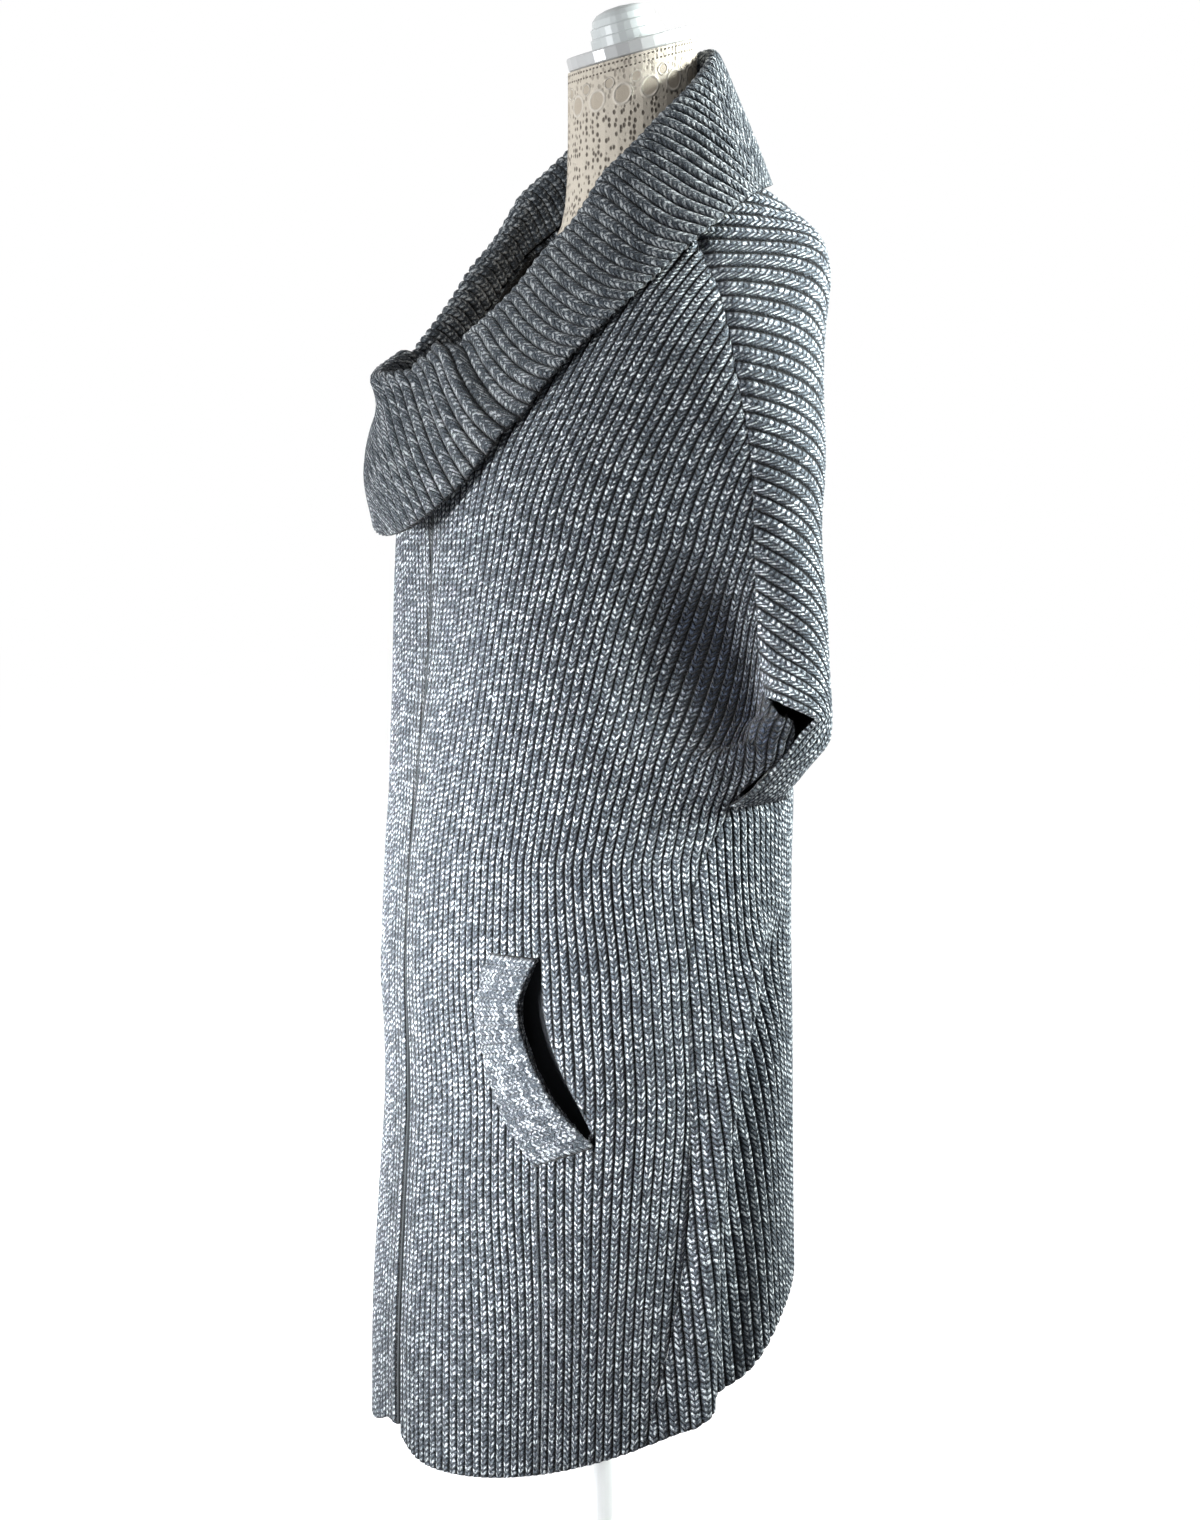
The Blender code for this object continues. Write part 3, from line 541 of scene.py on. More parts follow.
# merges points that lie on each other, which closes the rows that ran out at a seam
def tidyEdges(piece, distance=0.00005):
    shape = bmesh.new()
    shape.from_mesh(piece.data)
    bmesh.ops.dissolve_degenerate(shape, dist=distance, edges=shape.edges)
    bmesh.ops.remove_doubles(shape, verts=shape.verts, dist=distance)
    loose = [vert for vert in shape.verts if not vert.link_faces]
    bmesh.ops.delete(shape, geom=loose, context="VERTS")
    shape.to_mesh(piece.data)
    shape.free()


def thicken(piece, thickness, offset):
    deselectAll()
    bpy.context.view_layer.objects.active = piece
    piece.select_set(True)
    wall = piece.modifiers.new("wall", "SOLIDIFY")
    wall.thickness = thickness
    wall.offset = offset
    bpy.ops.object.modifier_apply(modifier=wall.name)
    piece.data.shade_smooth()
    piece.select_set(False)


# a knitted sheet from its grid of points. The two tables in gap mark the points on either side of an opening
def knitSheet(name, places, rib, startRow, wall, finish, offset=-1.0, gap=None):
    piece = clothGrid(name, places, rib, stitchesAlong(places, startRow))
    if gap:
        removeGap(piece, *gap)
    tidyEdges(piece)
    thicken(piece, wall, offset)
    piece.data.materials.append(finish)
    return piece


# distance walked from the first of the points, or from the first row of them
def lengthAlong(places):
    steps = np.linalg.norm(np.diff(places, axis=0), axis=-1)
    return np.concatenate([np.zeros((1,) + steps.shape[1:]), np.cumsum(steps, axis=0)])


# stitch numbers up each column of points, 0 at a starting row
def stitchesAlong(places, start):
    climbed = lengthAlong(places)
    return (climbed - climbed[start]) / knit["stitch"]


front = {
    "rowHeight": 0.0062, "level": 9.0, "lowHeight": 0.66, "samples": 140, "wall": 0.0036,
    "wide": 0.0086, "narrow": 0.0078, "wideTo": (0.05, 0.17),   # rib width at the zip and further out
    "open": 0.0034, "openTop": 0.0006, "openOver": (3.0, 4.6),  # how far the edge stands back from the zip
    "facing": (0.018, 0.034), "facingRelief": 0.25, "edgeDrop": 0.0014, "edgeWidth": 0.0024,
    "seamDrop": 0.0016, "seamWidth": 0.0035, "seamRelief": 0.35, "seamOver": 0.006,
    "armholeFlat": 0.65, "armholeWidth": 0.013, "armholeAt": (1.06, 0.10),
    "mouthLap": (4.2, 7.1, 0.60),             # how far the front runs past the seam above the sleeve's slit
    "mouthFlat": (3.0, 0.5), "mouthFade": 0.012, "mouthSink": 0.0004,
}
# the fold ahead of the sleeve
hollowFold = {
    "depth": 0.047, "angle": 97.0, "slope": -30.0, "height": 0.995, "spread": 11.0, "rise": 0.090,
    "foot": (0.895, 0.970), "fill": 0.007,
    "easeBy": 0.75, "easeAngle": (98.0, 104.0), "easeHeight": (1.02, 0.985),   # shallower beside the slit
}
# how far the ribs have drifted outward at a height: they lean over the chest and bend round the hip
drift = {
    "heights": (0.86, 0.90, 1.00, 1.10, 1.20, 1.36), "climb": (0.0, 0.08, 0.42, 0.80, 1.05, 1.32),
    "centre": 0.035, "outward": 0.15, "lane": (-0.12, 0.45, 400),
    "waist": 0.012, "waistHeight": (0.76, 0.87), "waistWidth": (0.12, 0.24),
    "hip": 0.022, "hipHeight": (0.66, 0.45), "hipAt": 0.16, "hipWidth": 0.085,
}
# the pocket mouth's two edges and the band's outer edge: angle and height, from the top down
mouthEdge = ((59.5, 0.785), (55.8, 0.748), (58.6, 0.710), (64.3, 0.675), (71.6, 0.646))
farEdge = ((60.4, 0.785), (61.2, 0.744), (64.2, 0.706), (68.9, 0.672), (72.2, 0.646))
bandEdge = ((47.0, 0.787), (43.6, 0.745), (46.2, 0.700), (51.5, 0.661), (59.0, 0.628))


def alongLine(points, share):
    share = np.asarray(share) * (len(points) - 1)
    pair = ("angle", "height")
    return readTable(points, pair, "angle", share), readTable(points, pair, "height", share)


# level at which the surface reaches a height, by halving
def levelAtHeight(face, turn, height, low=0.0, high=None):
    low = np.full(np.shape(turn), low, float)
    high = np.full(np.shape(turn), bodyTop if high is None else high, float)
    for _ in range(22):
        middle = (low + high) / 2.0
        above = face(turn, middle)[..., 2] > height
        high = np.where(above, middle, high)
        low = np.where(above, low, middle)
    return (low + high) / 2.0


# rows of (turn, level, width from the centre front) over one front, hem to shoulder
def frontChart(side):
    face, samples = bodySide(side), front["samples"]
    rowsLow = int(front["lowHeight"] / front["rowHeight"])
    levels = np.linspace(0.0, front["level"], rowsLow + 1)
    gap = readTable(seamRows, seamColumns, "frontGap", levels)
    gap = gap + front["openTop"] + front["open"] * (1.0 - smoothStep(*front["openOver"], levels))
    edge = gap / readTable(bodyRings, ringColumns, "frontReach", levels)
    share = np.linspace(0.0, 1.0, samples)
    seam = seamTurn(levels) + math.radians(front["mouthLap"][0]) * hump(levels, *front["mouthLap"][1:])
    turnLow = edge[:, None] + (seam - edge)[:, None] * share[None]
    levelLow = np.repeat(levels[:, None], samples, axis=1)
    widthLow = sidestep(face, turnLow, levelLow)

    topLevels = np.linspace(front["level"], bodyTop, 200)
    seamPlaces = face(seamTurn(topLevels), topLevels)
    neckTurns = np.linspace(edge[-1], seamTurn(float(bodyTop)), 240)
    neckPlaces = face(neckTurns, np.full(240, float(bodyTop)))
    neckWidth = sidestep(face, neckTurns, np.full(240, float(bodyTop)))
    topHeight = seamPlaces[-1, 2] - 0.0005
    turnsHigh, levelsHigh, widthsHigh = [], [], []
    rowsHigh = int((topHeight - seamPlaces[0, 2]) / front["rowHeight"])
    for row in range(1, rowsHigh + 1):
        climbed = row / rowsHigh

        # the rows turn level as they climb, from the slope of the last ring to the shoulder's top
        def heightAt(turn):
            start = face(turn, np.full(np.shape(turn), front["level"]))[..., 2]
            return (1.0 - climbed) * start + climbed * topHeight

        neckOver = neckPlaces[:, 2] - heightAt(neckTurns)
        first, startWidth = edge[-1], 0.0
        if neckOver[0] < 0.0:
            first = np.interp(0.0, neckOver, neckTurns)
            startWidth = np.interp(0.0, neckOver, neckWidth)
        seamOver = seamPlaces[:, 2] - heightAt(seamTurn(topLevels))
        last = seamTurn(np.interp(0.0, seamOver, topLevels))
        turn = np.linspace(first, last, samples)
        level = levelAtHeight(face, turn, heightAt(turn))
        turnsHigh.append(turn)
        levelsHigh.append(level)
        widthsHigh.append(startWidth + sidestep(face, turn, level))
    turn = np.concatenate([turnLow, np.array(turnsHigh)])
    level = np.concatenate([levelLow, np.array(levelsHigh)])
    width = np.concatenate([widthLow, np.array(widthsHigh)])
    return face, turn, level, width, rowsLow


# the cloth is drawn in under the shoulder, ahead of the sleeve, deepest along the seam
def hollowLift(angle, height):
    line = hollowFold["angle"] + hollowFold["slope"] * (height - hollowFold["height"])
    sunk = hump(angle, line, hollowFold["spread"]) * hump(height, hollowFold["height"], hollowFold["rise"])
    sunk = sunk * smoothStep(*hollowFold["foot"], height)
    eased = smoothStep(*hollowFold["easeAngle"], angle) * smoothStep(*hollowFold["easeHeight"], height)
    sunk = sunk * (1.0 - hollowFold["easeBy"] * eased)
    filled = hump(angle, hollow["angle"], hollow["spread"]) * hump(height, hollow["height"], hollow["rise"])
    return hollowFold["fill"] * filled - hollowFold["depth"] * sunk


# rib number at a width from the centre front and a height
def frontRibs(width, height):
    climb = np.interp(height, drift["heights"], drift["climb"])
    drifted = (drift["centre"] + drift["outward"] * width) * climb
    atWaist = smoothStep(*drift["waistHeight"], height) * smoothStep(*drift["waistWidth"], width)
    atHip = hump(width, drift["hipAt"], drift["hipWidth"]) * smoothStep(*drift["hipHeight"], height)
    width = width - (drifted - drift["waist"] * atWaist + drift["hip"] * atHip)
    lane = np.linspace(*drift["lane"])
    pitch = front["wide"] + (front["narrow"] - front["wide"]) * smoothStep(*front["wideTo"], lane)
    count = np.concatenate([[0.0], np.cumsum(0.5 * (1.0 / pitch[1:] + 1.0 / pitch[:-1]) * np.diff(lane))])
    return np.interp(width, lane, count - np.interp(0.0, lane, count))


# one front, from the zip to the side seam and up over the shoulder, with its pocket mouth
def buildFront(name, side, finish):
    face, turn, level, width, startRow = frontChart(side)
    ribs = frontRibs(width, face(turn, level)[..., 2])
    columns = ribColumns(float(ribs.min()), float(ribs.max()))
    turns, levels, widths = (np.stack([np.interp(columns, ribs[row], table[row]) for row in range(len(ribs))])
                             for table in (turn, level, width))
    # the pocket mouth: points between its two edges are drawn to the nearer edge
    share = np.linspace(0.0, 1.0, 41)
    nearAngle, nearHeight = alongLine(mouthEdge, share)
    farAngle, farHeight = alongLine(farEdge, share)
    heights = face(turns, levels)[..., 2]
    angles = np.degrees(turns)
    near = np.interp(heights, nearHeight[::-1], nearAngle[::-1])
    far = np.interp(heights, farHeight[::-1], farAngle[::-1])
    inside = (heights > nearHeight[-1]) & (heights < nearHeight[0]) & (angles > near) & (angles < far)
    toNear = inside & (angles - near < far - angles)
    toFar = inside & ~toNear
    angles = np.where(toNear, near, np.where(toFar, far, angles))
    turns = np.radians(angles)

    places = face(turns, levels)
    normal = outward(face, turns, levels) * side
    ribHere = np.clip(columns[None], ribs.min(axis=1)[:, None], ribs.max(axis=1)[:, None])
    toSeam = width[:, -1:] - widths
    strength = front["facingRelief"] + (1.0 - front["facingRelief"]) * smoothStep(*front["facing"], widths)
    armhole = hump(toSeam, 0.0, front["armholeWidth"]) * hump(places[..., 2], *front["armholeAt"])
    strength = strength * (1.0 - front["armholeFlat"] * armhole)
    fromSeam = smoothStep(0.0, front["seamOver"], toSeam)
    strength = strength * (front["seamRelief"] + (1.0 - front["seamRelief"]) * fromSeam)
    # the ribs flatten beside the pocket mouth
    beside = np.minimum(np.abs(angles - near), np.abs(angles - far))
    low, high, fade = nearHeight[-1], nearHeight[0], front["mouthFade"]
    atMouth = smoothStep(low - fade, low, heights) * smoothStep(high + fade, high, heights)
    strength = strength * (1.0 - atMouth * smoothStep(*front["mouthFlat"], beside))
    lift = np.where(inside, -front["mouthSink"], ribRelief(ribHere) * strength)
    lift = lift + hollowLift(angles, places[..., 2])
    lift = lift - front["edgeDrop"] * hump(widths, 0.0, front["edgeWidth"])
    lift = lift - front["seamDrop"] * hump(np.maximum(toSeam, 0.0), 0.0, front["seamWidth"])
    places = places + normal * lift[..., None]
    if side < 0:
        flip = np.s_[:, ::-1]
        places, toNear, toFar, ribHere = places[flip], toNear[flip], toFar[flip], ribHere[flip]
    return knitSheet(name, places, ribHere, startRow, front["wall"], finish, gap=(toNear, toFar))


# deletes the faces that span an opening from one edge to the other
def removeGap(piece, toNear, toFar):
    near, far = toNear.ravel(), toFar.ravel()
    shape = bmesh.new()
    shape.from_mesh(piece.data)
    across = [face for face in shape.faces
              if any(near[vert.index] for vert in face.verts) and any(far[vert.index] for vert in face.verts)]
    bmesh.ops.delete(shape, geom=across, context="FACES")
    shape.to_mesh(piece.data)
    shape.free()


back = {
    "join": 6.0, "past": 0.15, "belly": 7.55,         # rings where its parts meet, overlap and are widest
    "wall": 0.0036, "rowHeight": 0.0065, "lowHeight": 0.47, "samples": 140,
    "widest": 0.0080, "narrowest": 0.0058, "widestAt": 46.0,          # rib widths, and the rib that is widest
    "beneath": 0.0016, "beneathOver": 0.25, "beneathFrom": (0.10, 0.05), "creaseFrom": 0.012,
    "mouthDepth": 0.037, "mouthTop": 0.988, "seamRib": 0.0122, "seamRibTop": 0.0165, "topFrom": 14.0,
    "topOver": 24.0, "slope": 0.55, "upRows": 62, "downRows": 10, "upperRelief": 0.65, "aboveOver": 0.6,
    "lip": 0.0075, "lipRibs": 7.0, "lipBend": 3.0, "lipFade": (2.0, 8.0), "lipAt": (0.32, 0.36),
    "footDrop": 0.0020, "footOver": 0.12,
}
sideFold = {"ridge": 0.0080, "trough": 0.0125}   # added to the solids' own fold, behind the side seam


# distance of a rib from the centre back. The ribs widen a little towards the sides
def ribDistance(rib):
    gain = (back["widest"] - back["narrowest"]) / (2.0 * back["widestAt"])
    return back["narrowest"] * rib + gain * rib ** 2


def ribAt(distance):
    gain = (back["widest"] - back["narrowest"]) / (2.0 * back["widestAt"])
    start = back["narrowest"]
    return (-start + np.sqrt(start ** 2 + 4.0 * gain * distance)) / (2.0 * gain)


# for each level, turns from the seam to the centre back and their width from the centre back
def halfBackChart(levels, side):
    face, samples = bodySide(side), back["samples"]
    seam = seamTurn(levels)
    turn = seam[:, None] + (math.pi - seam)[:, None] * np.linspace(0.0, 1.0, samples)[None]
    width = sidestep(face, turn, np.repeat(levels[:, None], samples, axis=1))
    return face, turn, width[:, -1:] - width


# the back from the hem to the sleeves' foot, both halves in one sheet
def buildLowerBack(name, finish):
    rows = int(back["lowHeight"] / back["rowHeight"])
    levels = np.linspace(0.0, back["join"] + back["past"], rows + 1)
    halves = []
    for side in (1, -1):
        face, turn, width = halfBackChart(levels, side)
        ribs = ribAt(width)
        columns = ribColumns(0.0, float(ribs.max()))
        turns = np.stack([np.interp(columns, ribs[row, ::-1], turn[row, ::-1]) for row in range(len(levels))])
        levelGrid = np.repeat(levels[:, None], len(columns), axis=1)
        places = face(turns, levelGrid)
        normal = outward(face, turns, levelGrid) * side
        creased = sideCrease(np.degrees(turns), places[..., 2], sideFold)
        ribHere = np.minimum(columns[None], ribs[:, :1])
        toSeam = ribDistance(ribs[:, :1]) - ribDistance(columns)[None]
        lift = ribRelief(ribHere) - front["seamDrop"] * hump(np.maximum(toSeam, 0.0), 0.0, front["seamWidth"])
        beneath = smoothStep(back["join"] - back["beneathOver"], back["join"], levels)[:, None]
        lift = lift - back["beneath"] * beneath * smoothStep(*back["beneathFrom"], toSeam)
        lift = lift + creased * smoothStep(0.0, back["creaseFrom"], toSeam)
        halves.append((places + normal * lift[..., None], ribHere))
    left, right = halves
    places = np.concatenate([left[0][:, ::-1], right[0][:, 1:]], axis=1)
    columns = np.concatenate([left[1][:, ::-1], -right[1][:, 1:]], axis=1)
    return knitSheet(name, places, columns, rows, back["wall"], finish)


# reads a table between its rows and columns
def bilinear(table, row, column):
    row = np.clip(row, 0.0, table.shape[0] - 1.001)
    column = np.clip(column, 0.0, table.shape[1] - 1.001)
    r, c = np.floor(row).astype(int), np.floor(column).astype(int)
    fr, fc = row - r, column - c
    return ((1 - fr) * (1 - fc) * table[r, c] + (1 - fr) * fc * table[r, c + 1]
            + fr * (1 - fc) * table[r + 1, c] + fr * fc * table[r + 1, c + 1])


# one half of the back above the sleeve's foot. Its ribs run up the back and bend over to the seam
def buildUpperBack(name, side, finish):
    join, belly = back["join"], back["belly"]
    fine = np.linspace(join, bodyTop, 260)
    face, turn, width = halfBackChart(fine, side)
    total = width[:, 0]
    # turns tabled by the share of the width from the seam
    shares = np.linspace(0.0, 1.0, 160)
    table = np.stack([np.interp(shares, 1.0 - width[row] / total[row], turn[row]) for row in range(len(fine))])
    seamPlaces = face(seamTurn(fine), fine)
    climb = lengthAlong(seamPlaces)
    mouthTop = np.interp(back["mouthTop"], seamPlaces[:, 2], fine)

    firstRib = ribAt(np.interp(belly, fine, total) - back["mouthDepth"])
    columns = ribColumns(0.0, float(firstRib))[::-1]
    fromMouth = firstRib - columns
    distance = ribDistance(columns)
    # run of the seam at which each rib ends. Those beyond the shoulder end on the neck edge, ever steeper
    base = np.interp(belly, fine, climb)
    extra = np.maximum(fromMouth - back["topFrom"], 0.0) ** 2 / back["topOver"]
    seamRun = back["seamRib"] * fromMouth + (back["seamRibTop"] - back["seamRib"]) * extra
    seamRun = seamRun + np.interp(mouthTop, fine, climb) - base
    full = climb[-1] - base
    firstNeck = np.interp(full, seamRun, fromMouth)
    left = np.clip((firstRib - fromMouth) / (firstRib - firstNeck), 1e-6, 1.0)
    reach = np.where(seamRun >= full, full / np.sqrt(left), seamRun)
    fromSeam = np.interp(belly, fine, total) - distance
    power = np.maximum(1.0, reach / (back["slope"] * np.maximum(fromSeam, 0.01)))

    rise = np.linspace(0.0, 1.0, back["upRows"] + 1)[:, None] * np.minimum(full / reach, 1.0)[None]
    level = np.interp(base + rise * reach, climb, fine)
    straight = np.maximum(1.0 - distance[None] / np.interp(level, fine, total), 0.0)
    share = straight * (1.0 - rise ** power)

    # below the widest line the first ribs turn back towards the seam and end on the sleeve's foot
    drop = np.linspace(1.0, 0.0, back["downRows"] + 1)[:-1, None]
    lipPower = 1.0 + smoothStep(0.0, back["lipRibs"], fromMouth)
    bendLeft = 1.0 - smoothStep(0.0, back["lipRibs"] + back["lipBend"], fromMouth)
    levelDown = belly - (belly - join) * drop
    fall = drop ** lipPower * bendLeft
    straightDown = np.maximum(1.0 - distance[None] / np.interp(levelDown, fine, total), 0.0)
    shareDown = straightDown * (1.0 - fall) ** (1.0 / lipPower)
    level = np.concatenate([np.repeat(levelDown, len(columns), axis=1), level])
    share = np.concatenate([shareDown, share])

    turns = bilinear(table, (level - join) / (bodyTop - join) * (len(fine) - 1), share * (len(shares) - 1))
    places = face(turns, level)
    normal = outward(face, turns, level) * side
    toSeam = share * np.interp(level, fine, total)
    above = smoothStep(belly, belly + back["aboveOver"], level)
    lift = back["upperRelief"] * ribRelief(columns)[None]
    lift = lift - front["seamDrop"] * hump(toSeam, 0.0, front["seamWidth"]) * above
    lift = lift + hollowLift(np.degrees(turns), places[..., 2]) * above
    # the sleeve's foot stands out as a lip along the slit
    lip = 1.0 - smoothStep(*(back["lipRibs"] + further for further in back["lipFade"]), fromMouth)
    lipAt, lipOver = back["lipAt"]
    lift = lift + back["lip"] * lip[None] * hump(level, join + lipAt, lipOver)
    lift = lift - back["footDrop"] * lip[None] * (1.0 - smoothStep(join, join + back["footOver"], level))
    places = places + normal * lift[..., None]
    if side < 0:
        places, columns = places[:, ::-1], -columns[::-1]
    return knitSheet(name, places, columns, back["downRows"], back["wall"], finish)


collar = {
    "rows": 46, "wall": 0.0040, "pitch": 0.0096, "roll": 3.0, "edge": 7.0, "middle": 5.0, "samples": 1100,
    "slant": (0.40, 0.20, 0.10), "slantAt": (36.0, 95.0), "slantOver": (28.0, 35.0),
    "fallPower": 1.35, "standSlant": 0.22,
    "crest": 0.0017, "groove": 0.0030, "crestPower": 1.8, "groovePower": 3.0,
    "lap": (27.0, -6.0), "before": 52.0, "openOver": (0.8, 2.5), "lapLift": 1.3,
    "short": 0.35, "shortAt": 40.0, "shortOver": 20.0,        # the fall is shorter beside its front ends
    "endScale": 0.14, "endOver": (-0.002, 0.006), "endDrop": 0.0016, "endWidth": 0.003,
    "foldOver": (2.2, 3.2), "foldFade": 0.45, "foldFadeOver": (5.5, 7.0),
    # the far end's tip stands out at the roll, draws in below it and stands out again lower down
    "tip": 0.0062, "tips": ((1.0, 3.3, 0.45), (-0.9, 4.45, 0.55), (0.9, 6.0, 0.8)),
    "tipAt": (348.0, -12.0), "tipOver": 16.0,
}
# ridges and troughs that run along a rib: angle on the roll, width, height, share of it on the far side
collarFolds = (
    (23.0, 3.0, 0.0072, 0.5), (28.5, 2.6, -0.0042, 0.5), (16.5, 2.2, 0.0034, 0.4), (12.5, 2.0, -0.0026, 0.4),
    (62.0, 7.0, 0.0020, 0.8), (76.0, 8.0, -0.0022, 0.8), (118.0, 10.0, 0.0016, 1.0),
)


# how far back a rib has run where it meets the free edge
def collarSlant(degrees):
    plain, steep, side = collar["slant"]
    (steepAt, sideAt), (steepOver, sideOver) = collar["slantAt"], collar["slantOver"]
    return (plain * np.cos(np.radians(degrees) / 2.0) + steep * hump(degrees, steepAt, steepOver)
            + side * hump(degrees, sideAt, sideOver))


# the ribs run backward as they go down from the roll, on both sides of it
def collarTurn(turn, level):
    degrees = np.degrees(turn)
    right = degrees > 180.0
    slant = np.where(right, -collarSlant(360.0 - degrees), collarSlant(degrees))
    roll = collar["roll"]
    fall = np.clip((level - roll) / (collar["edge"] - roll), 0.0, 1.0) ** collar["fallPower"]
    stand = np.clip((roll - level) / roll, 0.0, 1.0)
    return turn + slant * fall + np.sin(turn) * collar["standSlant"] * stand


def collarFold(degrees, level):
    right = degrees > 180.0
    degrees = np.where(right, 360.0 - degrees, degrees)
    height = 0.0
    for angle, width, rise, far in collarFolds:
        height = height + rise * hump(degrees, angle, width) * np.where(right, far, 1.0)
    faded = 1.0 - collar["foldFade"] * smoothStep(*collar["foldFadeOver"], level)
    return height * smoothStep(*collar["foldOver"], level) * faded


# the collar, from the neckline up to the roll and down to its free edge
def buildCollar(name, finish):
    leftEnd, rightEnd = (math.radians(angle) for angle in collar["lap"])
    before = math.radians(collar["before"])
    samples = np.linspace(-before, 2.0 * math.pi + before, collar["samples"])
    middle = np.full(len(samples), collar["middle"])
    walked = lengthAlong(collarFace(collarTurn(samples, collar["middle"]), middle))
    count = round(walked[-1] / collar["pitch"])
    columns = ribColumns(0.0, float(count))
    onRoll = np.interp(columns / count * walked[-1], walked, samples)
    levels = np.linspace(0.0, collar["edge"], collar["rows"] + 1)
    base, level = np.meshgrid(onRoll, levels)
    degrees = np.degrees(base)
    near = np.where(degrees > 180.0, 360.0 - degrees, degrees)
    shorter = collar["short"] / collar["edge"] * hump(near, collar["shortAt"], collar["shortOver"])
    level = level * (1.0 - shorter * (level / collar["edge"]) ** 3)
    wanted = collarTurn(base, level)
    opened = smoothStep(*collar["openOver"], level)
    first, last = -leftEnd * opened, 2.0 * math.pi + rightEnd * opened
    turn = np.clip(wanted, first, last)
    # where a rib runs out at a front end, its column takes the rib number of the end itself
    ribHere = np.stack([np.interp(turn[row], wanted[row], columns) for row in range(len(levels))])
    baseHere = np.interp(ribHere, columns, onRoll)
    places = collarFace(turn, level)
    normal = outward(collarFace, turn, level)
    off = 2.0 * np.abs(ribHere - np.floor(ribHere) - 0.5)
    toEnd = np.minimum(turn - first, last - turn) * collar["endScale"]
    ribs = collar["crest"] * (1.0 - off ** collar["crestPower"])
    ribs = (ribs - collar["groove"] * off ** collar["groovePower"]) * smoothStep(*collar["endOver"], toEnd)
    ribs = ribs - collar["endDrop"] * hump(toEnd, 0.0, collar["endWidth"])
    lift = -collar["lapLift"] * lapLift(turn, level) - ribs - collarFold(np.degrees(baseHere), level)
    tip = sum(share * hump(level, centre, width) for share, centre, width in collar["tips"])
    atTip = sum(hump(np.degrees(turn), angle, collar["tipOver"]) for angle in collar["tipAt"])
    lift = lift - collar["tip"] * tip * atTip
    places = places + normal * lift[..., None]
    return knitSheet(name, places, ribHere, 0, collar["wall"], finish, offset=0.0)


band = {"pitch": 0.0064, "rows": 14, "wall": 0.0024, "samples": 80, "relief": 0.9,
        "high": 0.0030, "highFrom": 0.6, "endHigh": 0.35, "endOver": 0.10}   # it stands out along the mouth


# the ribbed band along the front edge of a pocket mouth
def buildBand(name, side, finish):
    face = bodySide(side)
    fine = np.linspace(0.0, 1.0, band["samples"])
    angle, height = alongLine(mouthEdge, fine)
    middle = face(np.radians(angle), levelAtHeight(face, np.radians(angle), height))
    walked = lengthAlong(middle)
    count = round(walked[-1] / band["pitch"])
    columns = ribColumns(0.0, float(count))
    share = np.interp(columns / count * walked[-1], walked, fine)
    outerAngle, outerHeight = alongLine(bandEdge, share)
    innerAngle, innerHeight = alongLine(mouthEdge, share)
    across = np.linspace(0.0, 1.0, band["rows"] + 1)[:, None]
    angles = outerAngle * (1.0 - across) + innerAngle * across
    heights = outerHeight * (1.0 - across) + innerHeight * across
    turns = np.radians(angles)
    levels = levelAtHeight(face, turns, heights)
    normal = outward(face, turns, levels) * side
    ends = smoothStep(0.0, band["endOver"], share) * smoothStep(1.0, 1.0 - band["endOver"], share)
    ends = (band["endHigh"] + (1.0 - band["endHigh"]) * ends)[None]
    lift = band["high"] * smoothStep(0.0, band["highFrom"], across) * ends
    lift = lift + ribRelief(columns)[None] * band["relief"]
    places = face(turns, levels) + normal * lift[..., None]
    if side > 0:
        places, columns = places[:, ::-1], columns[::-1]
    return knitSheet(name, places, columns, 0, band["wall"], finish)


lace = {
    "neck": (0.028, 1.4983), "tilt": 16.0, "radius": 0.053,       # middle of the neck, and its lean and size
    "step": 0.0225, "oval": (0.0072, 0.0080), "ovalDrop": 0.029, "small": 0.55, "smallDrop": 0.011, "rim": 0.22,
    "dot": (0.0009, 0.0007), "dotStep": (0.0036, 0.0055), "dotsTo": (0.0125, 0.0105),
    "netDrop": 0.040, "netOver": 0.006, "net": 290.0, "netStretch": (1.0, 1.0, 0.62), "netHoles": (0.46, 0.20),
    "jersey": (0.53, 0.475, 0.40), "inOval": (0.36, 0.305, 0.24), "hole": (0.085, 0.070, 0.055),
    "cord": (0.62, 0.57, 0.50), "grain": (0.16, 0.135, 0.11), "grainScale": 1400.0,
}


